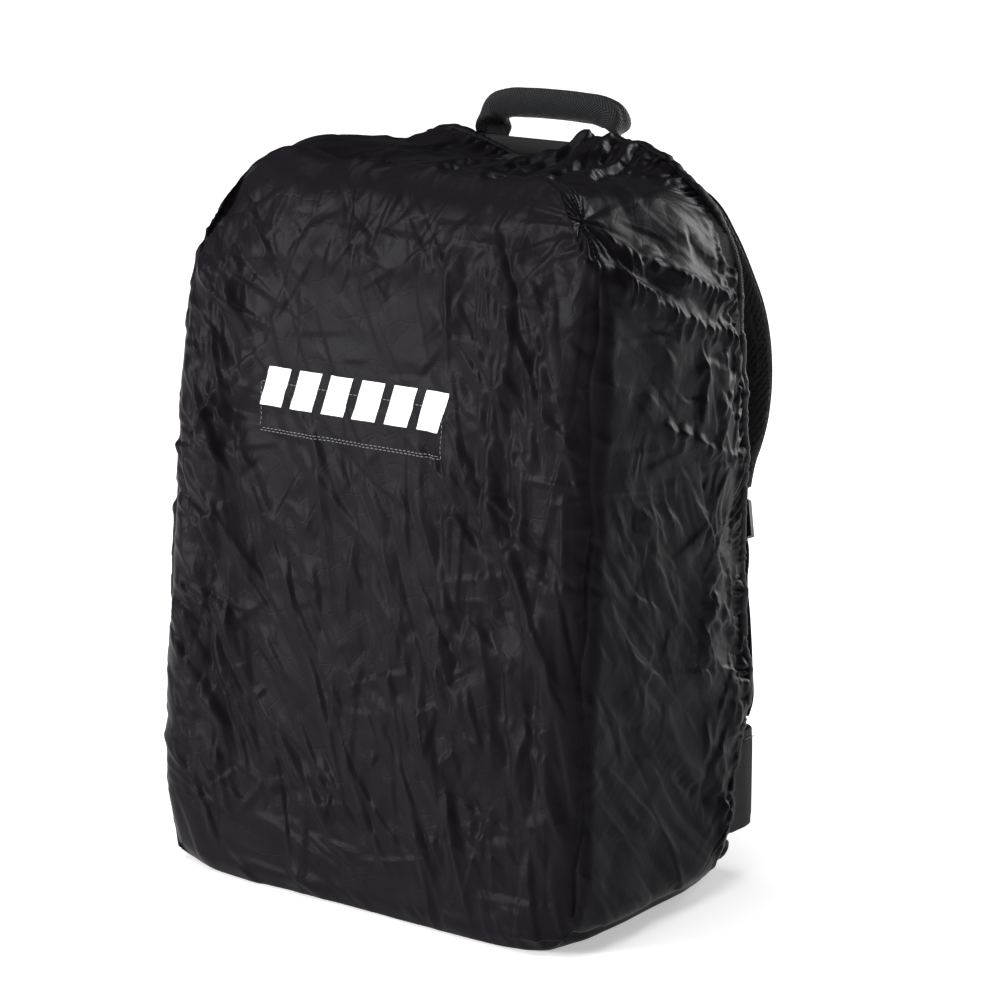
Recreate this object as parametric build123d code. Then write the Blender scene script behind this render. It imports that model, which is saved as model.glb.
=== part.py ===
"""Daypack wearing a fitted rain cover.

Frame: +Z up, +X to the wearer's right, the front of the pack faces -Y and the harness faces +Y.
The origin is on the ground plane, under the middle of the pack. All sizes are in millimetres.
"""
from build123d import *
import os
from math import atan2, degrees

# Rain cover, outside
COVER_HEIGHT = 457
WIDTH_BASE, WIDTH_TOP = 325, 313
FRONT_Y_BASE, FRONT_Y_TOP = -103, -66
BACK_Y = 90
R_BASE, R_TOP = 24, 82
R_FRONT_BASE, R_FRONT_TOP, R_UPRIGHT = 18, 42, 34
COVER_WALL = 2.0
FRONT_STRIP = 30
CORNER_LOW, CORNER_HIGH = 26, COVER_HEIGHT - R_TOP
NOTCH_Y, NOTCH_LOW, NOTCH_HIGH = 60, 26, 104

# Hem of the cover, with its elastic
HEM_DEPTH, HEM_WIDTH = 4, 8
ELASTIC_LOW, ELASTIC_HIGH, ELASTIC_WIDTH = 2.3, 3.5, 3

# Printed reflective dashes and the patch sewn behind the front
PRINT_Z, PRINT_HEIGHT, DASH_WIDTH, DASH_PITCH, DASH_COUNT = 312, 24, 17, 24, 6
PRINT_X, PRINT_THICK, DASH_SLANT = -16, 0.4, 7
PATCH_WIDTH, PATCH_HEIGHT, PATCH_Z, PATCH_THICK = 139, 30, 300, 1.0

# Pack body, measured as insets from the cover's outside
BODY_INSET, BODY_FRONT, BODY_WALL = 6.5, 18, 5
BODY_BACK = 91
RIM_INSET, RIM_THICK = 26, 3
POCKET_HALF, POCKET_LOW, POCKET_HIGH, POCKET_RADIUS = 137, 24, 405, 60
POCKET_FRONT, POCKET_BACK, POCKET_EDGE = 7, 17.5, 14
ZIP_WIDTH, ZIP_THICK = 7, 1.2
SLIDER_LENGTH, SLIDER_WIDTH, SLIDER_THICK = 12, 9, 2.6
PULL_LENGTH, PULL_WIDTH, PULL_THICK = 26, 6, 1.6
ZIP_GAP, ZIP_DEPTH, ZIP_TAPE = 1.0, 5, 2.2
POCKET_SLIDER_Z, MAIN_SLIDER_Z = 202, 142
SHELF_THICK, SHELF_LEVELS, POST_X = 8, (168, 304), 38
INNER_CLEAR = 0.6

# Access panel and its pads
HINGE_Y, HINGE_Z, HINGE_RADIUS, HINGE_HALF = 95, 27, 2, 128
PANEL_LOW, PANEL_HIGH, PANEL_EDGE, PANEL_RADIUS = 31, 431, 14, 60
PANEL_LAYERS = {"panel_lining": (92.5, 94.5), "frame_sheet": (94.5, 96.5), "panel_face": (96.5, 99)}
PANEL_FACE_Y = 99
YOKE_LOW, YOKE_HALF, YOKE_Y = 436, 84, 100
PAD_WIDTH, PAD_GAP, PAD_LOW, PAD_HIGH, PAD_THICK = 98, 26, 142, 392, 9
LUMBAR_HALF, LUMBAR_LOW, LUMBAR_HIGH, LUMBAR_THICK = 112, 46, 128, 13
WING_LOW, WING_HIGH, WING_REACH_Y, WING_THICK = 34, 97, 64, 5

# Top handle
HANDLE_Y, HANDLE_PIVOT_Z = 105, 444
LEG_X, LEG_WIDTH, LEG_THICK, LEG_TOP = 45, 24, 3, 461
GRIP_TOP, GRIP_RADIUS = 470, 9.5

# Shoulder strap stations, from the yoke down: x, y, z and half width of the pad
STRAP_STATIONS = (
    (77, 112, 415, 22),
    (83, 117, 405, 30),
    (89, 125, 386, 33),
    (95, 133, 364, 33),
    (99, 139, 345, 33),
    (103, 141, 285, 32),
    (108, 126, 256, 28),
    (118, 115, 234, 20),
)
RAIL_ENDS = (4, 5)
MESH_THICK, FOAM_THICK, FACE_THICK = 3, 8, 1.5
PAD_STACK = MESH_THICK + FOAM_THICK + FACE_THICK
RAIL_CORE, RAIL_HEAD, RAIL_RISE, RAIL_THICK = 5, 9, 1.4, 1.6
WEB_STATIONS = ((130, 112, 201), (131, 109.5, 186), (135, 107.5, 160), (137.5, 107, 130), (138, 107, 106))
WEB_HALF, WEB_THICK = 12.5, 1.5
LOCK_WIDTH, LOCK_LENGTH, LOCK_THICK, LOCK_LIFT, LOCK_DROP = 34, 24, 4, 5, 16
ANCHOR_TOP, ANCHOR_LOW = (76, 407, 429), (138, 97.5, 104.5)

# Chest strap, unbuckled
STERNUM_LENGTH, STERNUM_WIDTH, CLIP_WIDTH = 20, 20, 26
BAR_REACH, STERNUM_THICK, STERNUM_WEB, BUCKLE_LENGTH = 9, 1.5, 30, 26


def rounded(points, radii):
    """Closed face through the points, with one corner radius for each."""
    return make_face(FilletPolyline(*points, radius=radii, close=True))


def prism_y(face, y_low, y_high):
    """Front-view face (x, z) carried from y_low to y_high."""
    return Pos(0, y_high, 0) * extrude(Plane.XZ * face, amount=y_high - y_low)


def prism_x(face, x_low, x_high):
    """Side-view face (y, z) carried from x_low to x_high."""
    return Pos(x_low, 0, 0) * extrude(Plane.YZ * face, amount=x_high - x_low)


def block(x0, x1, y0, y1, z0, z1):
    """Box between two corners."""
    return Pos((x0 + x1) / 2, (y0 + y1) / 2, (z0 + z1) / 2) * Box(x1 - x0, y1 - y0, z1 - z0)


def front_y(z):
    """Y of the cover's sloping front at height z."""
    return FRONT_Y_BASE + (FRONT_Y_TOP - FRONT_Y_BASE) * z / COVER_HEIGHT


def half_width(z, inset=0):
    """Half the pack's width at height z."""
    return (WIDTH_BASE + (WIDTH_TOP - WIDTH_BASE) * z / COVER_HEIGHT) / 2 - inset


def front_view(inset):
    """Front-view outline of the pack, inset all round."""
    low, high = inset, COVER_HEIGHT - inset
    base_r, top_r = max(R_BASE - inset, 3), R_TOP - inset
    points = [(-half_width(low, inset), low), (half_width(low, inset), low),
              (half_width(high, inset), high), (-half_width(high, inset), high)]
    return rounded(points, [base_r, base_r, top_r, top_r])


def behind_front(inset, beyond=400):
    """Everything that lies behind the sloping front, inset from it."""
    points = [(front_y(-50) + inset, -50), (beyond, -50), (beyond, 550), (front_y(550) + inset, 550)]
    return prism_x(make_face(Polyline(*points, close=True)), -250, 250)


def pack_volume(inset, front=None, y_back=BACK_Y):
    """The pack's rounded volume, inset from the cover's outside."""
    front = inset if front is None else front
    low, high = inset, COVER_HEIGHT - inset
    far = y_back + 60
    side = rounded(
        [(front_y(low) + front, low), (far, low), (far, high), (front_y(high) + front, high)],
        [max(R_FRONT_BASE - inset, 3), 3, 3, max(R_FRONT_TOP - inset, 3)])
    reach = half_width(0, inset)
    corner = max(R_UPRIGHT - inset, 3)
    plan = rounded(
        [(-reach, FRONT_Y_BASE + front), (reach, FRONT_Y_BASE + front), (reach, far), (-reach, far)],
        [corner, corner, 3, 3])
    lean = Vector(0, FRONT_Y_TOP - FRONT_Y_BASE, COVER_HEIGHT)
    upright = extrude(plan, amount=lean.length, dir=lean.normalized())
    return prism_y(front_view(inset), -150, y_back) & prism_x(side, -200, 200) & upright


def cut_panels(shell, strip):
    """A pack-shaped shell, cut along its seams into front, left, right, top and base."""
    rest = shell & behind_front(strip)
    wide, deep = 250, 250
    return {
        "front": shell - behind_front(strip),
        "base": rest & block(-wide, wide, -deep, deep, -10, CORNER_LOW),
        "left": rest & block(-wide, 0, -deep, deep, CORNER_LOW, CORNER_HIGH),
        "right": rest & block(0, wide, -deep, deep, CORNER_LOW, CORNER_HIGH),
        "top": rest & block(-wide, wide, -deep, deep, CORNER_HIGH, 520),
    }


def ring(inset_out, inset_in, y_low, y_high):
    """Band that follows the front-view outline between two insets."""
    return prism_y(front_view(inset_out), y_low, y_high) - prism_y(front_view(inset_in), y_low, y_high)


def wing_notches(depth):
    """Where the hem runs forward round each wing of the harness."""
    low, high = NOTCH_LOW, NOTCH_HIGH
    return block(-200, -half_width(0, depth), NOTCH_Y, 200, low, high) + block(
        half_width(0, depth), 200, NOTCH_Y, 200, low, high)


def rain_cover():
    """The cover: five sewn panels, the hem tunnel and its elastic, a patch and a print."""
    shell = pack_volume(0) - pack_volume(COVER_WALL, y_back=BACK_Y + 10)
    shell -= wing_notches(HEM_DEPTH * 3)
    parts = {f"cover_{side}": solid for side, solid in cut_panels(shell, FRONT_STRIP).items()}
    middle = BACK_Y - HEM_WIDTH / 2
    elastic = ring(ELASTIC_LOW, ELASTIC_HIGH, middle - ELASTIC_WIDTH / 2, middle + ELASTIC_WIDTH / 2)
    hem = ring(COVER_WALL, HEM_DEPTH, BACK_Y - HEM_WIDTH, BACK_Y) - elastic
    parts["cover_hem"] = hem - wing_notches(HEM_DEPTH * 3)
    parts["cover_elastic"] = elastic - wing_notches(HEM_DEPTH * 3)
    patch = prism_y(Pos(PRINT_X, PATCH_Z) * Rectangle(PATCH_WIDTH, PATCH_HEIGHT), -150, 0)
    parts["cover_patch"] = (patch & behind_front(COVER_WALL)) - behind_front(COVER_WALL + PATCH_THICK)
    dashes = Part()
    for i in range(DASH_COUNT):
        x = PRINT_X + (i - (DASH_COUNT - 1) / 2) * DASH_PITCH
        half, low, high = DASH_WIDTH / 2, PRINT_Z - PRINT_HEIGHT / 2, PRINT_Z + PRINT_HEIGHT / 2
        outline = Polyline((x - half, low), (x + half, low), (x + half + DASH_SLANT, high),
                           (x - half + DASH_SLANT, high), close=True)
        dash = prism_y(make_face(outline), -150, 0)
        dashes += (dash & behind_front(-PRINT_THICK)) - behind_front(0)
    parts["reflective_print"] = dashes
    return parts


def zip_slider(x, z, y_face, towards):
    """Slider and pull lying on a zip whose teeth face -Y (towards = -1) or +Y (towards = 1)."""
    y0, y1 = sorted((y_face, y_face + towards * SLIDER_THICK))
    body = block(x - SLIDER_WIDTH / 2, x + SLIDER_WIDTH / 2, y0, y1, z - SLIDER_LENGTH / 2, z + SLIDER_LENGTH / 2)
    body = chamfer(body.edges().filter_by(Axis.Y), 2)
    inner = y_face + towards * 0.8
    p0, p1 = sorted((inner, inner + towards * PULL_THICK))
    top = z - SLIDER_LENGTH / 2
    pull = block(x - PULL_WIDTH / 2, x + PULL_WIDTH / 2, p0, p1, top - PULL_LENGTH, top)
    hole = Pos(x, (p0 + p1) / 2, top - PULL_LENGTH + 5) * Rot(90, 0, 0) * Cylinder(1.6, 6)
    return body, pull - hole


def front_pocket():
    """Flat front pocket, its zip and the slider on the zip's right leg."""
    base_r = 26
    outline = rounded([(-POCKET_HALF, POCKET_LOW), (POCKET_HALF, POCKET_LOW), (POCKET_HALF, POCKET_HIGH),
                       (-POCKET_HALF, POCKET_HIGH)], [base_r, base_r, POCKET_RADIUS, POCKET_RADIUS])
    body = prism_y(outline, -150, 0) & behind_front(POCKET_FRONT)
    body -= behind_front(POCKET_BACK)
    edge = POCKET_EDGE
    high, low = POCKET_HIGH - edge, 190
    outer = rounded([(-POCKET_HALF + edge, low), (POCKET_HALF - edge, low), (POCKET_HALF - edge, high),
                     (-POCKET_HALF + edge, high)], [1, 1, POCKET_RADIUS - edge, POCKET_RADIUS - edge])
    edge += ZIP_WIDTH
    inner = rounded([(-POCKET_HALF + edge, 100), (POCKET_HALF - edge, 100),
                     (POCKET_HALF - edge, POCKET_HIGH - edge), (-POCKET_HALF + edge, POCKET_HIGH - edge)],
                    [1, 1, POCKET_RADIUS - edge, POCKET_RADIUS - edge])
    tape = prism_y(outer, -150, 0) - prism_y(inner, -151, 1)
    tape = (tape & behind_front(POCKET_FRONT - ZIP_THICK)) - behind_front(POCKET_FRONT)
    return body, tape


def slope_angle():
    """Lean of the front from upright, in degrees."""
    return degrees(atan2(FRONT_Y_TOP - FRONT_Y_BASE, COVER_HEIGHT))


def pocket_slider():
    """Slider and pull on the right leg of the pocket zip, tilted to the sloping front."""
    x = POCKET_HALF - POCKET_EDGE - ZIP_WIDTH / 2
    y = front_y(POCKET_SLIDER_Z) + POCKET_FRONT - ZIP_THICK - 0.15
    place = Pos(x, y, POCKET_SLIDER_Z) * Rot(-slope_angle(), 0, 0)
    body, pull = zip_slider(0, 0, 0, -1)
    return place * body + place * pull


def panel_outline(grow):
    """Outline of the access panel, grown all round."""
    low, high = PANEL_LOW - grow, PANEL_HIGH + grow
    edge = PANEL_EDGE - grow
    points = [(-half_width(low, edge), low), (half_width(low, edge), low),
              (half_width(high, edge), high), (-half_width(high, edge), high)]
    return rounded(points, [8 + grow, 8 + grow, PANEL_RADIUS + grow, PANEL_RADIUS + grow])


def pack_body():
    """Walls, stiff base, rear rim, yoke, pocket, dividers and main zip."""
    parts = {}
    shell = pack_volume(BODY_INSET, BODY_FRONT, BODY_BACK)
    shell -= pack_volume(BODY_INSET + BODY_WALL, BODY_FRONT + BODY_WALL, BODY_BACK + 10)
    names = {"front": "front_wall", "left": "side_wall_left", "right": "side_wall_right",
             "top": "top_wall", "base": "base_wall"}
    panels = cut_panels(shell, BODY_FRONT + BODY_WALL + 0.01)
    for side, solid in panels.items():
        parts[names[side]] = solid
    inner = pack_volume(BODY_INSET + BODY_WALL, BODY_FRONT + BODY_WALL + INNER_CLEAR, BODY_BACK - RIM_THICK - 1)
    floor = BODY_INSET + BODY_WALL
    parts["base_board"] = inner & block(-200, 200, -90, 200, floor, floor + 3)
    room = pack_volume(BODY_INSET + BODY_WALL + INNER_CLEAR, BODY_FRONT + BODY_WALL + INNER_CLEAR,
                       BODY_BACK - RIM_THICK - 6)
    for name, level in zip(("divider_shelf_lower", "divider_shelf_upper"), SHELF_LEVELS):
        parts[name] = room & block(-200, 200, -200, 200, level, level + SHELF_THICK)
    parts["divider_post"] = room & block(POST_X, POST_X + SHELF_THICK, -200, 200, floor + 3.5,
                                         SHELF_LEVELS[0] - 0.5)
    parts["rear_rim"] = (prism_y(front_view(BODY_INSET + BODY_WALL), BODY_BACK - RIM_THICK, BODY_BACK)
                         - prism_y(front_view(RIM_INSET), BODY_BACK - RIM_THICK - 1, BODY_BACK + 1))
    yoke = prism_y(front_view(BODY_INSET), BODY_BACK, YOKE_Y)
    parts["rear_yoke"] = yoke & block(-YOKE_HALF, YOKE_HALF, 0, 200, YOKE_LOW, COVER_HEIGHT)
    parts["front_pocket"], parts["front_pocket_zip"] = front_pocket()
    parts["front_pocket_slider"] = pocket_slider()
    tape = prism_y(panel_outline(ZIP_GAP + ZIP_TAPE), BODY_BACK, BODY_BACK + ZIP_DEPTH)
    tape -= prism_y(panel_outline(ZIP_GAP), 0, 200)
    parts["main_zip"] = tape & block(-200, 200, 0, 200, NOTCH_HIGH, COVER_HEIGHT)
    zip_x = -half_width(MAIN_SLIDER_Z, PANEL_EDGE - ZIP_GAP - ZIP_TAPE / 2)
    body, pull = zip_slider(zip_x, MAIN_SLIDER_Z, PANEL_FACE_Y + 0.4, 1)
    parts["main_zip_slider"] = body + pull
    hinge = Pos(0, HINGE_Y, HINGE_Z) * Rot(0, 90, 0) * Cylinder(HINGE_RADIUS, 2 * HINGE_HALF)
    leaf = block(-HINGE_HALF, HINGE_HALF, BODY_BACK, HINGE_Y, HINGE_Z - HINGE_RADIUS, HINGE_Z)
    parts["panel_hinge_roll"] = hinge + leaf
    return parts


def handle():
    """Carry handle: two sewn tabs on the yoke, and the legs and foam-cored grip that swing."""
    tabs, legs = Part(), Part()
    for side in (-1, 1):
        x0, x1 = sorted((side * (LEG_X - LEG_WIDTH / 2), side * (LEG_X + LEG_WIDTH / 2)))
        tabs += block(x0, x1, YOKE_Y, YOKE_Y + LEG_THICK, YOKE_LOW + 0.5, HANDLE_PIVOT_Z - 2.5)
        legs += block(x0, x1, YOKE_Y + 0.5, YOKE_Y + 0.5 + LEG_THICK, HANDLE_PIVOT_Z, LEG_TOP)
    path = ThreePointArc((-LEG_X, HANDLE_Y, LEG_TOP), (0, HANDLE_Y, GRIP_TOP), (LEG_X, HANDLE_Y, LEG_TOP))
    grip = sweep(Plane(origin=path @ 0, z_dir=path % 0) * Circle(GRIP_RADIUS), path=path)
    return {"handle_tabs": tabs, "handle_webbing": legs - grip, "handle_grip": grip}


def access_panel():
    """Rear panel that opens about its foot, with the pads and wings sewn to it."""
    parts = {}
    for name, (y0, y1) in PANEL_LAYERS.items():
        parts[name] = prism_y(panel_outline(0), y0, y1)
    face = PANEL_FACE_Y
    middle = (PAD_LOW + PAD_HIGH) / 2
    for side, name in ((-1, "back_pad_left"), (1, "back_pad_right")):
        x = side * (PAD_GAP + PAD_WIDTH) / 2
        pad = Pos(x, middle) * RectangleRounded(PAD_WIDTH, PAD_HIGH - PAD_LOW, 22)
        pad = prism_y(pad, face, face + PAD_THICK)
        parts[name] = fillet(pad.faces().sort_by(Axis.Y)[-1].edges(), 5)
    lumbar = Pos(0, (LUMBAR_LOW + LUMBAR_HIGH) / 2) * RectangleRounded(
        2 * LUMBAR_HALF, LUMBAR_HIGH - LUMBAR_LOW, 24)
    lumbar = prism_y(lumbar, face, face + LUMBAR_THICK)
    parts["lumbar_pad"] = fillet(lumbar.faces().sort_by(Axis.Y)[-1].edges(), 6)
    for side, name in ((-1, "lumbar_wing_left"), (1, "lumbar_wing_right")):
        reach = half_width(WING_LOW, 2.3)
        skin = half_width(WING_LOW, BODY_INSET - 0.4)
        rear = block(LUMBAR_HALF + 4, reach, face, face + WING_THICK, WING_LOW, WING_HIGH)
        edge = block(skin, reach, WING_REACH_Y, face + WING_THICK, WING_LOW, WING_HIGH)
        parts[name] = mirrored(rear + edge, side)
    anchors = Part()
    for x, low, high in (ANCHOR_TOP, ANCHOR_LOW):
        half = LEG_WIDTH / 2
        for side in (-1, 1):
            anchors += mirrored(block(x - half, x + half, face, face + LEG_THICK, low, high), side)
    parts["strap_anchors"] = anchors
    return parts


def mirrored(solid, side):
    """The solid as it is on the +X side, or its mirror image on the -X side."""
    return solid if side > 0 else mirror(solid, about=Plane.YZ)


def strap_frames(stations, straight=()):
    """Origin, width direction and outward normal at each station; the straight pair share one direction."""
    points = [Vector(*s[:3]) for s in stations]
    last = len(points) - 1
    frames = []
    for i, point in enumerate(points):
        before, after = points[max(i - 1, 0)], points[min(i + 1, last)]
        if i in straight:
            before, after = points[straight[0]], points[straight[1]]
        along = (after - before).normalized()
        wide = (Vector(1, 0, 0) - along * along.X).normalized()
        frames.append((point, wide, wide.cross(along)))
    return frames


def band(frames, halves, low, high):
    """Solid strip between two heights over the stations, of the given half widths."""
    sections = []
    for (point, wide, normal), half in zip(frames, halves):
        corners = [point + wide * (s * half) + normal * h
                   for s, h in ((-1, low), (1, low), (1, high), (-1, high))]
        sections.append(make_face(Polyline(*corners, close=True)))
    return loft(sections, ruled=True)


def ladder_lock(plane):
    """Two-slot strap adjuster with a lifting lip."""
    frame = Box(LOCK_WIDTH, LOCK_LENGTH, LOCK_THICK)
    frame -= Pos(0, 6, 0) * Box(WEB_HALF * 2 + 2, 5, 2 * LOCK_THICK)
    frame -= Pos(0, -3.5, 0) * Box(WEB_HALF * 2 + 2, 5.5, 2 * LOCK_THICK)
    lip = Pos(0, 3 - LOCK_LENGTH / 2, LOCK_THICK / 2 + 1) * Box(20, 4, 3)
    return plane * (frame + lip)


def sternum_slider(plane):
    """Clip that hooks round the rail, with a bar for the chest strap on its inner side."""
    body = Pos(0, 0, 2.7) * Box(CLIP_WIDTH, STERNUM_LENGTH, 4.6)
    body -= Pos(0, 0, 0.9) * Box(2 * RAIL_CORE + 1, 30, 2.2)
    body -= Pos(0, 0, RAIL_RISE + RAIL_THICK / 2) * Box(2 * RAIL_HEAD + 0.8, 30, RAIL_THICK + 0.8)
    loop_x = -(CLIP_WIDTH + BAR_REACH) / 2
    loop = Pos(loop_x, 0, 3) * Box(BAR_REACH, STERNUM_WIDTH + 6, 3)
    loop -= Pos(loop_x - 0.5, 0, 3) * Box(4.5, STERNUM_WIDTH + 1, 6)
    return plane * (body + loop)


def sternum_half(plane, male):
    """Webbing and buckle half of the chest strap, reaching in from the slider's bar."""
    start = -(CLIP_WIDTH / 2 + BAR_REACH) - 1.2
    webbing = Pos(start - STERNUM_WEB / 2, 0, 3) * Box(STERNUM_WEB, STERNUM_WIDTH, STERNUM_THICK)
    shell_x = start - STERNUM_WEB - BUCKLE_LENGTH / 2 - 0.01
    buckle = Pos(shell_x, 0, 3) * Box(BUCKLE_LENGTH, STERNUM_WIDTH + 6, 7)
    buckle = fillet(buckle.edges().filter_by(Axis.Z), 3)
    if male:
        for y in (-6.5, 6.5):
            buckle -= Pos(shell_x - 6, y, 3) * Box(BUCKLE_LENGTH - 11, 4, 10)
    else:
        buckle -= Pos(shell_x - 6, 0, 3) * Box(BUCKLE_LENGTH - 10, STERNUM_WIDTH, 4)
    return plane * webbing, plane * buckle


def shoulder_strap(side):
    """One shoulder strap: pad, rail, lower webbing, adjuster and half of the chest strap."""
    tag = "right" if side > 0 else "left"
    frames = strap_frames(STRAP_STATIONS, RAIL_ENDS)
    halves = [s[3] for s in STRAP_STATIONS]
    parts = {}
    foam_top = MESH_THICK + FOAM_THICK
    parts[f"strap_mesh_{tag}"] = band(frames, halves, 0, MESH_THICK)
    parts[f"strap_foam_{tag}"] = band(frames, halves, MESH_THICK, foam_top)
    parts[f"strap_face_{tag}"] = band(frames, halves, foam_top, PAD_STACK)
    first, last = RAIL_ENDS
    run = frames[first:last + 1]
    core = band(run, [RAIL_CORE] * len(run), PAD_STACK, PAD_STACK + RAIL_RISE + 0.1)
    head = band(run, [RAIL_HEAD] * len(run), PAD_STACK + RAIL_RISE, PAD_STACK + RAIL_RISE + RAIL_THICK)
    parts[f"strap_rail_{tag}"] = core + head
    end, wide, normal = frames[-1]
    down = (Vector(*WEB_STATIONS[0]) - end).normalized()
    lock_plane = Plane(origin=end + down * LOCK_DROP + normal * LOCK_LIFT, x_dir=wide, z_dir=normal)
    parts[f"ladder_lock_{tag}"] = ladder_lock(lock_plane)
    web_frames = strap_frames(WEB_STATIONS)
    parts[f"lower_webbing_{tag}"] = band(web_frames, [WEB_HALF] * len(web_frames), 0, WEB_THICK)
    middle = (run[0][0] + run[-1][0]) * 0.5 + run[0][2] * PAD_STACK
    clip_plane = Plane(origin=middle, x_dir=run[0][1], z_dir=run[0][2])
    parts[f"sternum_slider_{tag}"] = sternum_slider(clip_plane)
    webbing, buckle = sternum_half(clip_plane, male=side > 0)
    parts[f"sternum_webbing_{tag}"] = webbing
    parts[f"sternum_buckle_{tag}"] = buckle
    return {name: mirrored(solid, side) for name, solid in parts.items()}


def main():
    os.makedirs("parts", exist_ok=True)
    parts = {**rain_cover(), **pack_body(), **handle(), **access_panel()}
    for side in (-1, 1):
        parts.update(shoulder_strap(side))
    for name, solid in parts.items():
        export_step(solid, f"parts/{name}.step")


main()
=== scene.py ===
"""Looks for a daypack in a crumpled rain cover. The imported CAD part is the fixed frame."""

import bpy
import numpy as np
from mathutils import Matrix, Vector
from mathutils.bvhtree import BVHTree


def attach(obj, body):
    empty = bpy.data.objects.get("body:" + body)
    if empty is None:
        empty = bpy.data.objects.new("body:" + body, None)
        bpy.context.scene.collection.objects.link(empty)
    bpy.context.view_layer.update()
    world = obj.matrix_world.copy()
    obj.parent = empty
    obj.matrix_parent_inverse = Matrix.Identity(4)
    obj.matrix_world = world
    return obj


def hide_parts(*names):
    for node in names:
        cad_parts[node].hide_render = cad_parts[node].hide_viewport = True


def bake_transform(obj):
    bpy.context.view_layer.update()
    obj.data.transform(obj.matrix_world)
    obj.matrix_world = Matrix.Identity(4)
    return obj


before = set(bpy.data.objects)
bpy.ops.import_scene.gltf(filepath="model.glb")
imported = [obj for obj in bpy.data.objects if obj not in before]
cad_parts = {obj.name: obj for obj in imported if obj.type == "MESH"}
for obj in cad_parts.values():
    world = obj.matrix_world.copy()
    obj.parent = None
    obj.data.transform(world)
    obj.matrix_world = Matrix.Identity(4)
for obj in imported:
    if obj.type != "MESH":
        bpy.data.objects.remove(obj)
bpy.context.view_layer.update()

MM = 0.001

# ---------------------------------------------------------------- driving sizes in millimetres
HEIGHT = 457.0
HALF_BASE, HALF_TOP = 162.5, 156.5
FRONT_BASE, FRONT_TOP = -103.0, -66.0
R_BASE, R_TOP, R_FRONT_BASE, R_FRONT_TOP, R_UPRIGHT = 24.0, 82.0, 18.0, 42.0, 17.0
OPEN_DEPTH = 400.0
COVER_GRID = (66, 92, 37)
HEM_Y = 92.0
HEM_MIDDLE = np.array([0, 0, 228.0])
FLOOR_CLEAR = 0.05
# Rounds of each settling loop, the seed, the two sides and the two ways along Y.
LAY_STEPS, WALL_STEPS, RELAX_STEPS, SMOOTH_STEPS = 26, 22, 30, 4
SEED = 7
SIDES = (-1, "left"), (1, "right")
FORWARD, BACKWARD = np.array([0, -1, 0]), np.array([0, 1, 0])


def half_width(z):
    """Half the pack's width at height z."""
    return HALF_BASE + (HALF_TOP - HALF_BASE) * z / HEIGHT


def front_y(z):
    """Where the sloping front lies at height z."""
    return FRONT_BASE + (FRONT_TOP - FRONT_BASE) * z / HEIGHT


def smooth(a, b, v):
    """Smooth step from 0 at a to 1 at b."""
    t = np.clip((v - a) / (b - a), 0.0, 1.0)
    return t * t * (3 - 2 * t)


def bump(v, centre, width):
    """Gaussian bump."""
    return np.exp(-((v - centre) / width) ** 2)


def unit(*v):
    """A direction of length 1."""
    return np.array(v) / np.linalg.norm(v)


def units(v):
    """Each row scaled to length 1."""
    return v / np.linalg.norm(v, axis=1)[:, None]


def run_along(points):
    """Distance run along a line, at each of its points."""
    return np.concatenate([[0], np.cumsum(np.linalg.norm(np.diff(points, axis=0), axis=1))])


def at_run(t, run, line):
    """The line's values at the distances t."""
    return np.stack([np.interp(t, run, column) for column in line.T], 1)


def laid(centre, x, y, side, up):
    """A flat section's offsets x and y, laid out at a point."""
    return centre + x[:, None] * side + y[:, None] * up


# ---------------------------------------------------------------- the pack's volume as a distance
def rounded_rect(px, pz, hx, hz, r):
    """Signed distance to a rounded rectangle round the origin."""
    ax = np.abs(px) - hx + r
    az = np.abs(pz) - hz + r
    return np.minimum(np.maximum(ax, az), 0) + np.hypot(np.maximum(ax, 0), np.maximum(az, 0)) - r


def volume_distance(p, inset=0.0):
    """Signed distance to the pack's rounded volume, open towards the back."""
    x, y, z = p[:, 0], p[:, 1], p[:, 2]
    high = HEIGHT - inset
    mid, hz = (high + inset) / 2, (high - inset) / 2
    hx = half_width(z) - inset
    fy = y - front_y(z) - inset - OPEN_DEPTH
    r_corner = np.where(z > mid, R_TOP, R_BASE)
    r_front = np.where(z > mid, R_FRONT_TOP, R_FRONT_BASE)
    face = rounded_rect(x, z - mid, hx, hz, r_corner)
    side = rounded_rect(fy, z - mid, OPEN_DEPTH, hz, r_front)
    plan = rounded_rect(x, fy, hx, OPEN_DEPTH, R_UPRIGHT)
    return np.maximum(np.maximum(face, side), plan)


def gradient(distance, p):
    """Direction in which a distance grows fastest."""
    step = 0.5
    g = np.empty_like(p)
    for axis in range(3):
        a, b = p.copy(), p.copy()
        a[:, axis] += step
        b[:, axis] -= step
        g[:, axis] = distance(a) - distance(b)
    return g / np.maximum(np.linalg.norm(g, axis=1), 1e-9)[:, None]


# ---------------------------------------------------------------- the cover's grid of threads
def pairs(*ends):
    """Rows of point numbers, one column from each given array."""
    return np.stack(ends, -1).reshape(-1, len(ends))


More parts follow.
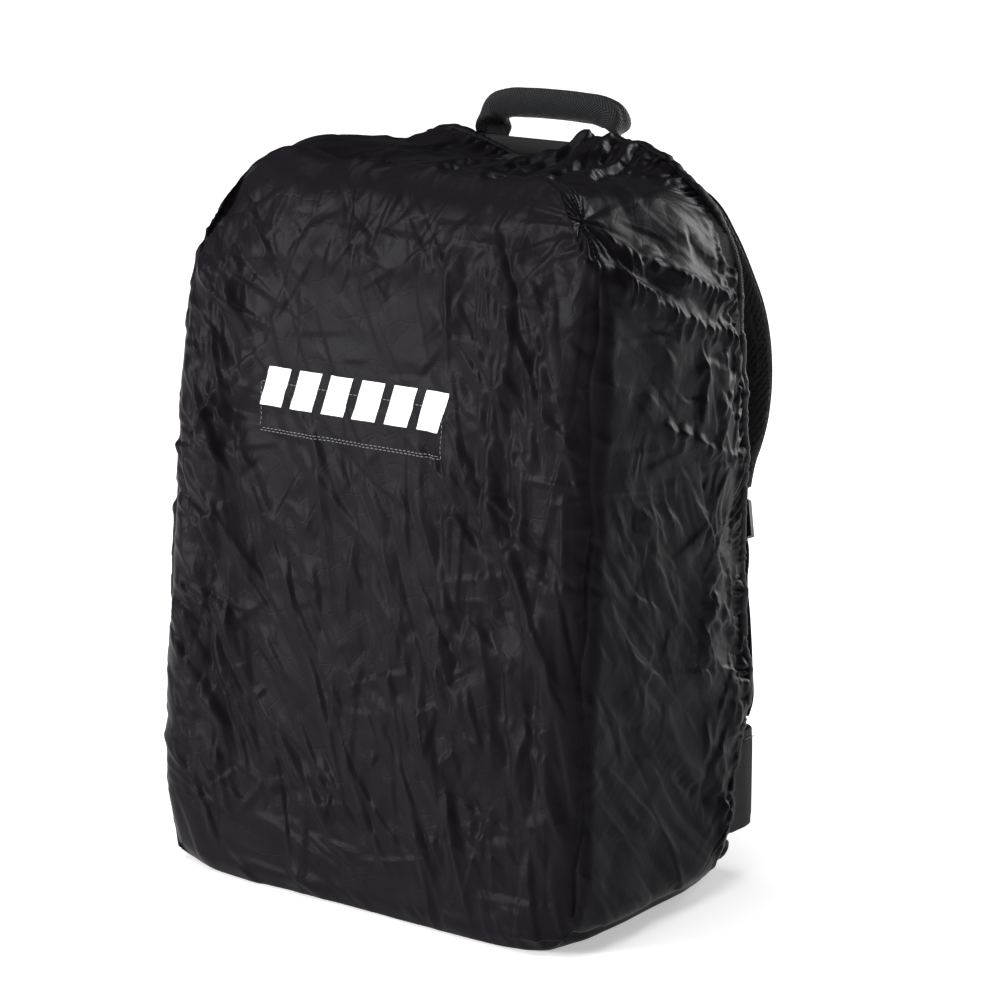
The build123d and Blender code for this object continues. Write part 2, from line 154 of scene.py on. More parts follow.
class CoverGrid:
    """A square grid over the front and rings of it running back to the hem."""

    def __init__(self, across, up, rings):
        self.rings = rings
        self.front = np.arange((across + 1) * (up + 1)).reshape(across + 1, up + 1)
        f = self.front
        self.loop = np.concatenate([f[:-1, 0], f[-1, :-1], f[:0:-1, -1], f[0, :0:-1]])
        count = len(self.loop)
        extra = f.size + np.arange(self.rings * count).reshape(self.rings, count)
        self.ring = np.vstack([self.loop[None, :], extra])
        self.count = f.size + extra.size
        x = np.linspace(-1, 1, across + 1)
        z = np.linspace(0, HEIGHT, up + 1)
        gx, gz = np.meshgrid(x, z, indexing="ij")
        p = np.zeros((self.count, 3))
        p[f.ravel()] = np.stack([(gx * half_width(gz)).ravel(), front_y(gz).ravel(), gz.ravel()], 1)
        edge = p[self.loop]
        hem = hem_line(edge)
        for k in range(1, self.rings + 1):
            row = edge.copy()
            row[:, 1] = edge[:, 1] + (hem - edge[:, 1]) * k / self.rings
            p[self.ring[k]] = row
        self.start = p
        self.faces = self.quads()
        self.edges = np.vstack(self.thread_edges())

    def quads(self):
        """The four corners of every square."""
        f, r = self.front, self.ring
        after = np.roll(r, -1, axis=1)
        return np.vstack([pairs(f[:-1, :-1], f[1:, :-1], f[1:, 1:], f[:-1, 1:]),
                          pairs(r[1:], after[1:], after[:-1], r[:-1])])

    def thread_edges(self):
        """Edges in batches in which no point comes twice."""
        f, r = self.front, self.ring
        after = np.roll(r, -1, axis=1)
        out = []
        for k in (0, 1):
            out.append(pairs(f[k:-1:2], f[k + 1::2]))
            out.append(pairs(f[:, k:-1:2], f[:, k + 1::2]))
            out.append(pairs(r[1:, k::2], after[1:, k::2]))
            out.append(pairs(r[k:-1:2], r[k + 1::2]))
        return out

    def bias_edges(self):
        """Diagonals of the squares."""
        f, r = self.front, self.ring
        after = np.roll(r, -1, axis=1)
        out = []
        for k in (0, 1):
            out.append(pairs(f[k:-1:2, :-1], f[k + 1::2, 1:]))
            out.append(pairs(f[k:-1:2, 1:], f[k + 1::2, :-1]))
            out.append(pairs(r[k:-1:2], after[k + 1::2]))
            out.append(pairs(after[k:-1:2], r[k + 1::2]))
        return out

    def bend_edges(self):
        """Pairs of points two threads apart, which resist bending."""
        f, r = self.front, self.ring
        across = np.roll(r, -2, axis=1)
        out = []
        for k in range(4):
            out.append(pairs(f[k:-2:4], f[k + 2::4]))
            out.append(pairs(f[:, k:-2:4], f[:, k + 2::4]))
            out.append(pairs(r[k:-2:4], r[k + 2::4]))
            out.append(pairs(r[1:, k::4], across[1:, k::4]))
        return out

    def average(self, p):
        """Mean of each point's thread neighbours."""
        i, j = self.edges[:, 0], self.edges[:, 1]
        total = np.zeros_like(p)
        n = np.bincount(i, minlength=self.count) + np.bincount(j, minlength=self.count)
        for axis in range(3):
            total[:, axis] = np.bincount(i, p[j, axis], self.count) + np.bincount(j, p[i, axis], self.count)
        return total / n[:, None]

    def normals(self, p):
        """Unit normal of the sheet at each point."""
        a, b, c, d = (p[self.faces[:, k]] for k in range(4))
        fn = np.cross(c - a, d - b)
        n = np.zeros_like(p)
        for k in range(4):
            for axis in range(3):
                n[:, axis] += np.bincount(self.faces[:, k], fn[:, axis], self.count)
        return n / np.maximum(np.linalg.norm(n, axis=1), 1e-9)[:, None]


def finer(values, axis, wraps=False):
    """Twice as many values along an axis, by a smooth curve through the given ones."""
    v = np.moveaxis(values, axis, 0)
    before, after = np.roll(v, 1, 0), np.roll(v, -1, 0)
    after2 = np.roll(v, -2, 0)
    if not wraps:
        before[0] = 2 * v[0] - v[1]
        after[-1] = 2 * v[-1] - v[-2]
        after2[-1] = after[-1]
        after2[-2] = after[-1]
    mid = (9 * (v + after) - before - after2) / 16
    out = np.empty((2 * len(v),) + v.shape[1:])
    out[0::2] = v
    out[1::2] = mid
    if not wraps:
        out = out[:-1]
    return np.moveaxis(out, 0, axis)


def refine(coarse, fine, p):
    """Points of the coarse grid carried over to the grid that is twice as fine."""
    out = np.zeros((fine.count, 3))
    front = finer(finer(p[coarse.front], 0), 1)
    ring = finer(finer(p[coarse.ring], 0), 1, wraps=True)
    out[fine.ring] = ring[:fine.ring.shape[0]]
    out[fine.front] = front
    return out


WING_LOW, WING_HIGH, WING_HEM_Y = 22.0, 134.0, 60.0


def hem_line(p):
    """Y of the hem round the pack: it runs forward over each wing of the harness."""
    x, z = p[:, 0], p[:, 2]
    sides = smooth(120, 150, np.abs(x))
    dip = smooth(WING_LOW - 22, WING_LOW, z) * np.clip((WING_HIGH - z) / (WING_HIGH - WING_LOW), 0, 1)
    return HEM_Y - (HEM_Y - WING_HEM_Y) * dip * sides


def base_surface(grid):
    """The grid laid evenly on the pack's volume."""
    p = grid.start.copy()
    hem = grid.ring[-1]
    for step in range(LAY_STEPS):
        d = volume_distance(p)
        p -= d[:, None] * gradient(volume_distance, p)
        if step == LAY_STEPS - 1:
            break
        moved = grid.average(p)
        p = p + (moved - p) * 0.7
        p[hem, 1] = hem_line(p[hem])
    return p


# ---------------------------------------------------------------- creases
def folded(p, rng, period, folds, last, along=None, hold=0.0):
    """A height whose creases are the folds of a sheet folded again and again across planes.

    The creases run along the given direction, the more so the nearer hold is to 1."""

    def plane():
        n = rng.normal(size=3)
        if along is not None:
            n -= hold * (n @ along) * np.asarray(along)
        return n / np.linalg.norm(n)

    q = p + 0.0
    for freq in (1.0 / period, 2.3 / period):
        for _ in range(2):
            d, side = plane(), plane()
            wave = np.sin(2 * np.pi * (p @ d) * freq * 0.5 + rng.uniform(0, 6.28))
            q += side * (wave * 0.06 / freq)[:, None]
    for _ in range(folds):
        n = plane()
        width = period * rng.uniform(0.7, 1.4)
        t = q @ n + rng.uniform(0, width)
        folded_t = np.abs(np.mod(t / width, 2) - 1) * width
        q = q + (folded_t - t)[:, None] * n
    t = q @ plane() + rng.uniform(0, last)
    return (np.abs(np.mod(t / last, 2) - 1) - 0.5) * last


def folded_sets(p, amount, front, base, corner, sets, holds):
    """Folded creases: down the front, slanting on the lower sides and flatter on the upper sides."""
    h = np.zeros(len(p))
    high = smooth(200, 290, p[:, 2])
    sides = 1 - front
    ways = ((front + base, unit(0.55, 0, -1)), (sides * corner * (1 - high), unit(0, 1, -0.95)),
            (sides * corner * high, unit(0, 1, -0.3)))
    for period, number, last, size, seed in sets:
        for k, ((share, way), hold) in enumerate(zip(ways, holds)):
            rng = np.random.default_rng(SEED + seed + k)
            h += amount * share * size * folded(p, rng, period, number, last, way, hold)
    return h


class Patch:
    """The points of one flat region, sorted along it so that each crease finds its own quickly."""

    def __init__(self, q, weight):
        near = np.flatnonzero(weight > 0.02)
        self.order = near[np.argsort(q[near, 0])]
        self.pts = q[self.order]
        self.lift = np.zeros(len(near))
        self.weight = weight

    def tent(self, centre, angle, size, tall, gentle, steep, bend=0.0):
        """One crease: a sharp line with a gentle flank on one side and a steep one on the other."""
        run = np.array([np.cos(angle), np.sin(angle)])
        reach = size / 2 * abs(run[0]) + (gentle + steep) * abs(run[1]) + 3
        low, high = np.searchsorted(self.pts[:, 0], (centre[0] - reach, centre[0] + reach))
        rel = self.pts[low:high] - centre
        u = rel @ run
        s = rel @ np.array([-run[1], run[0]]) - bend * u * u
        sel = np.flatnonzero((np.abs(u) < size / 2) & (s < gentle) & (s > -steep))
        u, s = u[sel], s[sel]
        taper = 1 - (2 * u / size) ** 2
        flank = np.where(s > 0, 1 - s / gentle, 1 + s / steep)
        self.lift[low + sel] += tall * taper * np.minimum(flank, 0.93)

    def creases(self, rng, box, angle, spread, number, length, height, width):
        """Random creases of one leaning inside a box."""
        for _ in range(number):
            centre = np.array([rng.uniform(box[0], box[2]), rng.uniform(box[1], box[3])])
            a = np.radians(rng.normal(angle, spread) + (180 if rng.random() < 0.5 else 0))
            size = rng.uniform(*length)
            tall = rng.uniform(*height) * (1 if rng.random() < 0.72 else -1)
            wide = rng.uniform(*width)
            self.tent(centre, a, size, tall, wide * rng.uniform(2.5, 6), wide * rng.uniform(0.8, 1.8),
                      rng.normal(0, 0.0012))

    def pleat(self, rng, points, tall, period, long):
        """A ruffle: a ridge along the points, with ragged teeth of cloth hanging from it."""
        points = np.asarray(points, float)
        for a, b in zip(points[:-1], points[1:]):
            way = b - a
            size = 1.4 * np.linalg.norm(way)
            self.tent((a + b) / 2, np.arctan2(way[1], way[0]), size, 0.6 * tall, 3.5, 12.0)
        run = run_along(points)
        t = rng.uniform(2, period)
        while t < run[-1] - 2:
            top = np.array([np.interp(t, run, points[:, k]) for k in (0, 1)])
            size = long * rng.uniform(0.4, 1.4)
            angle = np.radians(-90 + rng.normal(28, 24))
            centre = top + rng.uniform(0.1, 0.4) * size * np.array([np.cos(angle), np.sin(angle)])
            wide = 0.45 * period * rng.uniform(0.6, 1.4)
            self.tent(centre, angle, size, tall * rng.uniform(0.5, 1.15), 1.5 * wide, 0.5 * wide,
                      rng.normal(0, 0.01))
            t += period * rng.uniform(0.45, 1.7)

    def height(self):
        """The creases' height at every point of the sheet."""
        h = np.zeros(len(self.weight))
        h[self.order] = self.lift
        return h * self.weight


def pocket_outline(x, z):
    """Signed distance to the arched front pocket felt through the cloth."""
    return rounded_rect(x, z - 200, 137.0, 204.0, 60.0)


def facing(n):
    """How far each point faces the front, right, left, top and base."""
    sides = (-n[:, 1], n[:, 0], -n[:, 0], n[:, 2], -n[:, 2])
    return [np.clip(v, 0, 1) ** 2 for v in sides]


def along_line(q, points):
    """Distance along a line of points and signed distance to its left, for 2-D points q."""
    points = np.asarray(points, float)
    best = np.full(len(q), 1e9)
    run = np.zeros(len(q))
    off = np.zeros(len(q))
    done = 0.0
    total = np.linalg.norm(np.diff(points, axis=0), axis=1).sum()
    for a, b in zip(points[:-1], points[1:]):
        size = np.linalg.norm(b - a)
        way = (b - a) / size
        rel = q - a
        t = np.clip(rel @ way, 0, size)
        gap = rel - t[:, None] * way
        dist = np.linalg.norm(gap, axis=1)
        side = np.sign(rel @ np.array([-way[1], way[0]]))
        nearer = dist < best
        best = np.where(nearer, dist, best)
        run = np.where(nearer, done + t, run)
        off = np.where(nearer, side * dist, off)
        done += size
    return run, off, total


def zigzag(t):
    """Triangle wave between -1 and 1 of period 1."""
    return 4 * np.abs(np.mod(t, 1) - 0.5) - 1


def ragged(t, rng, period):
    """Triangle wave whose teeth differ in length and height."""
    bent = t + 0.35 * period * np.sin(t / period * 1.7 + rng.uniform(0, 6)) \
        + 0.2 * period * np.sin(t / period * 4.1 + rng.uniform(0, 6))
    size = 0.65 + 0.35 * np.sin(t / period * 0.9 + rng.uniform(0, 6))
    return zigzag(bent / period) * size


def fold(q, weight, points, depth, width, lip):
    """A deep fold: a groove along the points with a raised lip on its left."""
    run, off, total = along_line(q, points)
    ends = smooth(0, 18, run) * (1 - smooth(total - 18, total, run))
    uneven = 0.75 + 0.25 * np.sin(run / 19 + depth * 9)
    raised = lip * np.exp(-np.maximum(off, 0) / (3.6 * width))
    sunk = -depth * np.exp(np.minimum(off, 0) / (1.5 * width))
    side = smooth(-1.3, 1.3, off)
    return weight * ends * uneven * (side * raised + (1 - side) * sunk)


# Folds: the line in front view or side view, the groove's depth and width, and the height of its lip.
FRONT_FOLDS = (
    (((78, 312), (83, 253), (88, 207), (99, 182), (112, 128), (128, 56)), 3.4, 4.2, 1.8),
    (((52, 300), (57, 250), (59, 196), (75, 132), (95, 70)), 3.0, 3.6, 1.5),
    (((122, 392), (116, 330), (105, 268), (109, 226), (124, 178)), 2.8, 4.4, 1.8),
    (((24, 262), (28, 214), (36, 170), (44, 128)), 1.7, 2.6, 1.0),
    (((-2, 236), (6, 196), (20, 150)), 1.3, 2.4, 0.8),
    (((135, 238), (120, 196), (128, 152), (139, 96)), 2.4, 3.6, 1.8),
    (((-136, 236), (-108, 196), (-78, 152), (-46, 112)), 1.5, 3.0, 1.4),
    (((-146, 186), (-118, 150), (-88, 98), (-60, 44)), 1.7, 3.2, 1.4),
    (((-112, 352), (-84, 318), (-52, 262), (-28, 214)), 1.0, 2.4, 0.9),
    (((-142, 132), (-128, 96), (-134, 60)), 2.4, 4.0, 2.0))
RIGHT_FOLDS = (
    (((-31, 236), (-4, 204), (32, 165), (62, 128)), 2.4, 3.6, 1.8),
    (((-54, 160), (-20, 122), (22, 86), (56, 58)), 2.4, 3.6, 1.8),
    (((-74, 118), (-44, 82), (-6, 38), (32, 6)), 2.2, 3.6, 1.8))
LEFT_FOLDS = ((((-31, 256), (-4, 214), (32, 185), (62, 148)), 2.4, 3.6, 1.8),)
TOP_FOLDS = (
    (((18, -54), (30, -20), (34, 24), (31, 62), (22, 104)), 6.0, 4.5, 4.0),
    (((58, -50), (50, -8), (47, 34), (49, 70), (44, 104)), 8.0, 4.5, 4.5),
    (((88, -30), (72, 6), (65, 44), (66, 74), (62, 104)), 8.0, 4.5, 4.5),
    (((104, 0), (90, 30), (82, 62), (80, 104)), 5.0, 4.0, 4.0),
    (((-30, -52), (-14, -22), (-2, 16), (4, 50)), 4.0, 4.0, 2.5))


def folds(q, weight, table):
    """The summed height of a table's folds."""
    return sum(fold(q, weight, *row) for row in table)


def corner_slack(p):
    """How far the loose cloth falls in from the volume at its corners and its lower right edge."""
    x, y, z = p[:, 0], p[:, 1], p[:, 2]
    out = 9.0 * np.exp(-(np.hypot(x - 158, z - 3) / 17) ** 2) * smooth(-125, -70, y)
    for cx, cy, cz, size, radius in ((-160, -98, 4, 9, 30), (160, -98, 4, 9, 30), (-152, -62, 430, 13, 40),
                                     (157, 84, 4, 11, 26), (-157, 84, 4, 11, 26)):
        r = np.hypot(np.hypot(x - cx, y - cy), z - cz)
        out += size * np.exp(-(r / radius) ** 2)
    return out


def shoulder(p):
    """Where the hem draws the cloth in over the pack's rear shoulders."""
    return smooth(10, 78, p[:, 1]) * smooth(300, 400, p[:, 2]) * smooth(62, 115, np.abs(p[:, 0]))


def large_height(p, n):
    """Height of the cloth's big shapes over the smooth volume, at points p with normals n."""
    x, y, z = p[:, 0], p[:, 1], p[:, 2]
    front, right, left, top, base = facing(n)
    h = np.zeros(len(p))
    d = pocket_outline(x, z)
    h += front * (-3.4 * smooth(0, 26, d) + 1.5 * bump(d, -5, 8) * smooth(250, 330, z))
    h += (front + left) * 5.0 * smooth(70, 150, -x) * bump(z, 190, 135) * (1 - smooth(-30, 60, y))
    h += front * 2.6 * bump(x, 119.5, 13) * bump(z, 186, 32)
    h -= corner_slack(p)
    h += (top + left) * 12.0 * bump(x, -108, 40) * bump(y, 12, 46) * smooth(380, 430, z)
    back = y - front_y(z)
    low = 1 - smooth(70, 140, np.abs(x))
    h -= top * 10 * smooth(18, 50, back) * (1 - smooth(118, 150, back)) * low
    h += top * 3.0 * bump(back, 8, 14) * low
    h -= top * 13 * bump(x, -6, 40) * smooth(46, 84, y)
    h += top * 14.0 * bump(x, 52, 24) * bump(y, 64, 26)
    h -= 6.5 * shoulder(p)
    roll = (right + left) * 8.0 + top * 5.0
    h -= roll * smooth(38, HEM_Y, y) ** 1.5 * (0.2 + 0.8 * smooth(120, 160, z))
    corner = 1 - 0.7 * np.minimum(4 * (n[:, 0] * n[:, 1]) ** 2, 1) * (y < 0)
    amount = front * (0.55 + 0.4 * smooth(60, 130, np.abs(x))) + right * 0.7 + left * 0.9
    amount += top * 0.9 + base * 0.1
    amount *= 0.55 + 0.45 * smooth(20, 90, z)
    amount *= 1 - 0.7 * front * bump(x, 0, 90) * smooth(150, 330, z)
    h += folded_sets(p, amount, front, base, corner, ((150, 4, 40, 0.075, 11), (80, 5, 24, 0.075, 23)),
                     (0.85, 0.8, 0.8))
    yz = np.stack([y, z + 3 * np.sin(y / 13)], 1)
    ridges = bump(z + 0.42 * y, 404, 8) + 1.1 * bump(z + 0.45 * y, 380, 9) + 0.8 * bump(z + 0.43 * y, 307, 12)
    h += right * 2.2 * ridges
    h += folds(yz, right, RIGHT_FOLDS) + folds(yz, left, LEFT_FOLDS)
    xy = np.stack([x + 2.5 * np.sin(y / 11), y], 1)
    h += folds(xy, top + front * smooth(415, 435, z), TOP_FOLDS)
    xz = np.stack([x + 2.2 * np.sin(z / 17 + 1) + 1.4 * np.sin(z / 7.3), z], 1)
    return h + folds(xz, front, FRONT_FOLDS)


SEAM = ((-64, 412), (-66.7, 389), (-78, 230), (-92, 34))
ROSETTE = (143.0, -56.0, 434.0)


def seam_offset(p):
    """Distance run down the front edge seam, and distance from it, which wanders a little."""
    y, z = p[:, 1], p[:, 2]
    q = np.stack([y + 1.3 * np.sin(z / 23) + 0.8 * np.sin(z / 9 + 1), z], 1)
    run, off, _ = along_line(q, SEAM)
    return run, off


# Creases: the box they lie in, their angle and its spread, how many, and the range of their length,
# height and width.
FACE_CREASES = (
    ((-150, 60, 30, 300), -57, 15, 80, (30, 190), (0.4, 1.5), (1.5, 3.4)),
    ((-60, 60, 60, 290), -73, 16, 50, (20, 130), (0.4, 1.3), (1.4, 2.6)),
    ((-150, 60, 150, 420), 20, 35, 110, (12, 60), (0.35, 1.2), (1.4, 3.0)),
    ((-158, 40, -100, 420), -50, 30, 120, (20, 80), (0.7, 2.2), (1.5, 3.2)),
    ((45, 30, 150, 400), -74, 14, 120, (25, 120), (0.6, 2.2), (1.5, 3.4)),
    ((60, 120, 150, 420), -25, 25, 60, (15, 50), (0.5, 1.5), (1.5, 3.0)),
    ((-130, 300, 120, 440), -66, 35, 90, (20, 90), (0.35, 1.1), (1.4, 2.8)),
    ((-140, 385, 130, 450), 60, 30, 80, (14, 60), (0.4, 1.4), (1.4, 3.0)),
    ((-140, 8, 140, 90), -42, 35, 70, (20, 80), (0.35, 1.1), (1.4, 2.8)))
RIGHT_CREASES = (
    ((-70, 230, 90, 440), -25, 22, 110, (20, 90), (0.25, 1.0), (1.6, 3.4)),
    ((-90, 10, 80, 260), -46, 14, 130, (30, 150), (0.3, 1.2), (1.8, 3.6)),
    ((-60, 120, 40, 300), -60, 30, 60, (15, 60), (0.3, 0.9), (1.4, 2.8)),
    ((35, 20, 92, 430), 70, 28, 110, (12, 55), (0.6, 1.8), (1.5, 3.0)))
LEFT_CREASES = (((-90, 10, 90, 430), -30, 40, 320, (20, 90), (0.5, 1.6), (1.6, 3.2)),)
LID_CREASES = (((-130, -50, 130, 90), 85, 30, 110, (15, 60), (0.6, 1.9), (1.6, 3.2)),)
# Pleats: the line, and the ruffle's height, period and length.
RIGHT_PLEATS = (
    (((-43, 427), (-20, 410), (19, 394), (63, 377), (84, 372)), 2.8, 9, 20),
    (((-52, 409), (-10, 382), (35, 362), (67, 354), (84, 350)), 3.0, 9, 22),
    (((-13, 312), (21, 298), (66, 278), (84, 272)), 2.4, 10, 22))
LEFT_PLEATS = (
    (((-50, 382), (-10, 376), (36, 362), (84, 350)), 2.8, 9, 22),
    (((-54, 310), (0, 296), (40, 290), (84, 270)), 2.2, 9, 20))


def fine_height(p, n):
    """Height of the sharp small creases, at points p with normals n."""
    x, y, z = p[:, 0], p[:, 1], p[:, 2]
    front, right, left, top, base = facing(n)
    rng = np.random.default_rng(SEED)
    corner = 1 - 0.7 * np.minimum(4 * (n[:, 0] * n[:, 1]) ** 2, 1) * (y < 0)
    amount = front * 0.3 + right * 0.5 + left * 0.7 + top * 0.7 + base * 0.15
    amount *= 0.6 + 0.4 * smooth(20, 90, z)
    amount *= 1 - 0.6 * front * bump(x, 10, 80) * bump(z, 330, 80)
    amount *= 1 - 0.6 * front * bump(x, 10, 70) * bump(z, 60, 60)
    h = np.zeros(len(p))
    h += folded_sets(p, amount, front, base, corner, ((60, 5, 15, 0.09, 31), (34, 5, 8, 0.07, 41)),
                     (0.8, 0.7, 0.6))
    xz, yz, xy = np.stack([x, z], 1), np.stack([y, z], 1), np.stack([x, y], 1)
    quiet = front * (1 - 0.5 * bump(x, 5, 75) * bump(z, 325, 70))
    for q, weight, table, pleats in ((xz, quiet, FACE_CREASES, ()), (yz, right, RIGHT_CREASES, RIGHT_PLEATS),
                                     (yz, left, LEFT_CREASES, LEFT_PLEATS), (xy, top, LID_CREASES, ())):
        patch = Patch(q, weight)
        for row in table:
            patch.creases(rng, *row)
        for row in pleats:
            patch.pleat(rng, *row)
        h += patch.height()
    run, off = seam_offset(p)
    rng_seam = np.random.default_rng(SEED + 3)
    near = (np.abs(x) > 118) * (1 - top) * (1 - base) * (np.abs(off) < 30) * smooth(0, 20, run)
    deep = 2.5 + 1.2 * np.sin(run / 31 + 2)
    h -= near * deep * np.exp(-np.abs(off) / 2.0)
    h += near * 0.35 * ragged(run + 0.6 * off, rng_seam, 17) * np.exp(-np.abs(off + 2) / 6)
    rel = p - np.array(ROSETTE)
    r = np.linalg.norm(rel, axis=1)
    around = np.arctan2(rel[:, 2], rel[:, 1] + 0.4 * rel[:, 0])
    h += 2.2 * ragged(around / (2 * np.pi) * 15 + 40, rng, 1.0) * np.exp(-r / 22) * smooth(2, 9, r)
    h -= 5.5 * np.exp(-(r / 7) ** 2)
    hem = hem_line(p) - y
    turn = np.arctan2(z - 210, x) * 200
    edge = (1 - front) * (1 - base)
    turn += 0.5 * hem * np.sin(turn / 37)
    reach = 11 + 7 * np.sin(turn / 17) + 4 * np.sin(turn / 6.1)
    h += 2.0 * ragged(turn, rng, 9) * np.exp(-np.maximum(hem - 6, 0) / reach) * smooth(0, 7, hem) * edge
    h += top * 4.0 * ragged(x + 0.35 * y, rng, 23) * bump(x, 52, 27) * bump(y, 62, 32)
    return h


def linked(name, data):
    """A new object in the scene."""
    obj = bpy.data.objects.new(name, data)
    bpy.context.scene.collection.objects.link(obj)
    return obj


def to_mesh(name, points, faces, material):
    """A smooth mesh of points in millimetres, every face with the same number of corners."""
    mesh = bpy.data.meshes.new(name)
    mesh.vertices.add(len(points))
    mesh.vertices.foreach_set("co", (np.asarray(points) * MM).astype(np.float32).ravel())
    faces = np.asarray(faces)
    width = faces.shape[1]
    mesh.loops.add(faces.size)
    mesh.loops.foreach_set("vertex_index", faces.astype(np.int32).ravel())
    mesh.polygons.add(len(faces))
    mesh.polygons.foreach_set("loop_start", (np.arange(len(faces)) * width).astype(np.int32))
    mesh.update(calc_edges=True)
    mesh.validate()
    mesh.polygons.foreach_set("use_smooth", np.ones(len(faces), bool))
    mesh.materials.append(material)
    return linked(name, mesh)


# ---------------------------------------------------------------- cloth relaxing
def bag_distance(p):
    """Distance to the pack inside the cover."""
    d = volume_distance(p, inset=2.5)
    x, y, z = p[:, 0], p[:, 1], p[:, 2]
    back = y - front_y(z)
    margin = 7 * smooth(0, 22, pocket_outline(x, z)) * (1 - smooth(20, 60, back))
    slack = smooth(400, 440, z) * smooth(20, 60, back) * 14
    return d + margin + slack + 8 * smooth(50, 90, y) + corner_slack(p) + 4 * shoulder(p)


def relax(grid, p, steps):
    """Settles the sheet on the pack at its own thread lengths."""
    groups = [(e, 1.0) for e in grid.thread_edges()] + [(e, 0.35) for e in grid.bias_edges()]
    groups += [(e, 0.12) for e in grid.bend_edges()]
    x = p.astype(np.float32)
    sets = []
    for e, k in groups:
        i, j = e[:, 0].copy(), e[:, 1].copy()
        rest = np.linalg.norm(x[j] - x[i], axis=1)
        sets.append((i, j, rest, np.float32(k * 0.5)))
    hem = grid.ring[-1]
    pinned = x[hem].copy()
    last = x.copy()
    for _ in range(steps):
        speed = (x - last) * 0.9
        last = x.copy()
        x = x + speed
        x[:, 2] -= 0.02
        for i, j, rest, k in sets:
            d = x[j] - x[i]
            size = np.sqrt((d * d).sum(1))
            move = d * (k * (size - rest) / np.maximum(size, 1e-6))[:, None]
            x[i] += move
            x[j] -= move
        x[hem] = pinned
        d = bag_distance(x)
        deep = np.flatnonzero(d < 0)
        if len(deep):
            x[deep] -= (d[deep, None] * gradient(bag_distance, x[deep].astype(np.float64))).astype(np.float32)
        x[:, 2] = np.maximum(x[:, 2], FLOOR_CLEAR)
    return x.astype(np.float64)


# ---------------------------------------------------------------- materials
class Shade:
    """A material and short ways to build its nodes."""

    def __init__(self, name, colour, roughness, specular=0.3):
        self.mat = bpy.data.materials.new(name)
        self.mat.use_nodes = True
        self.nodes, self.links = self.mat.node_tree.nodes, self.mat.node_tree.links
        self.out = self.nodes["Principled BSDF"]
        self.out.inputs["Base Color"].default_value = (*colour, 1)
        self.out.inputs["Roughness"].default_value = roughness
        self.out.inputs["Specular IOR Level"].default_value = specular
        self.bumped = None

    def node(self, kind, **values):
        """A new shader node with the given settings."""
        n = self.nodes.new("ShaderNode" + kind)
        for key, value in values.items():
            setattr(n, key, value)
        return n

    def feed(self, socket, value):
        """Gives a socket a number or another node's output."""
        if isinstance(value, (int, float)):
            socket.default_value = value
        else:
            self.links.new(value, socket)

    def math(self, operation, a, b=0.0):
        """One sum of two numbers or outputs."""
        n = self.node("Math", operation=operation)
        self.feed(n.inputs[0], a)
        self.feed(n.inputs[1], b)
        return n.outputs[0]

    def wave(self, a, b, period, operation="ADD", form="SINE"):
        """A sine wave along the sum or difference of two coordinates."""
        return self.math(form, self.math("MULTIPLY", self.math(operation, a, b), 2 * np.pi / period))

    def coordinates(self, kind):
        """The object's own coordinates in metres, or its UV in millimetres."""
        sep = self.node("SeparateXYZ")
        self.links.new(self.node("TexCoord").outputs[kind], sep.inputs[0])
        return sep.outputs

    def place(self):
        """The object's own coordinates as one vector."""
        return self.node("TexCoord").outputs["Object"]

    def noise(self, scale, detail=3.0):
        """A noise texture in the object's own coordinates."""
        n = self.node("TexNoise")
        self.links.new(self.place(), n.inputs["Vector"])
        n.inputs["Scale"].default_value = scale
        n.inputs["Detail"].default_value = detail
        return n

    def grain(self, scale, detail):
        """The value of a noise texture."""
        return self.noise(scale, detail).outputs["Fac"]

    def cells(self, scale, vector):
        """Distance to the edges of random cells."""
        n = self.node("TexVoronoi", feature="DISTANCE_TO_EDGE")
        self.links.new(vector, n.inputs["Vector"])
        n.inputs["Scale"].default_value = scale
        return n.outputs["Distance"]

    def ramp(self, value, low, high, to_low=0.0, to_high=1.0):
        """A smooth step from one value to another."""
        n = self.node("MapRange", interpolation_type="SMOOTHSTEP")
        self.feed(n.inputs["Value"], value)
        for key, number in zip(("From Min", "From Max", "To Min", "To Max"), (low, high, to_low, to_high)):
            n.inputs[key].default_value = number
        return n.outputs[0]

    def bump(self, height, depth, strength=1.0):
        """Adds relief of a depth in millimetres."""
        n = self.node("Bump")
        n.inputs["Strength"].default_value = strength
        n.inputs["Distance"].default_value = depth * MM
        self.feed(n.inputs["Height"], height)
        if self.bumped:
            self.links.new(self.bumped, n.inputs["Normal"])
        self.bumped = n.outputs[0]
        self.links.new(self.bumped, self.out.inputs["Normal"])

    def tint(self, value, low, high):
        """Base colour between two colours by a 0 to 1 value."""
        n = self.node("Mix", data_type="RGBA")
        self.feed(n.inputs["Factor"], value)
        n.inputs["A"].default_value = (*low, 1)
        n.inputs["B"].default_value = (*high, 1)
        self.links.new(n.outputs["Result"], self.out.inputs["Base Color"])

    def rough(self, value, low, high):
        """Roughness between two values by a 0 to 1 value."""
        self.links.new(self.ramp(value, 0, 1, low, high), self.out.inputs["Roughness"])


def warped(shade, scale, amount):
    """The object's coordinates, bent by noise."""
    n = shade.noise(scale)
    scaled = shade.node("VectorMath", operation="MULTIPLY_ADD")
    shade.links.new(n.outputs["Color"], scaled.inputs[0])
    scaled.inputs[1].default_value = (amount * MM,) * 3
    shade.links.new(shade.place(), scaled.inputs[2])
    return scaled.outputs[0]


def times(colour, amount):
    """A colour made lighter or darker."""
    return tuple(amount * c for c in colour)


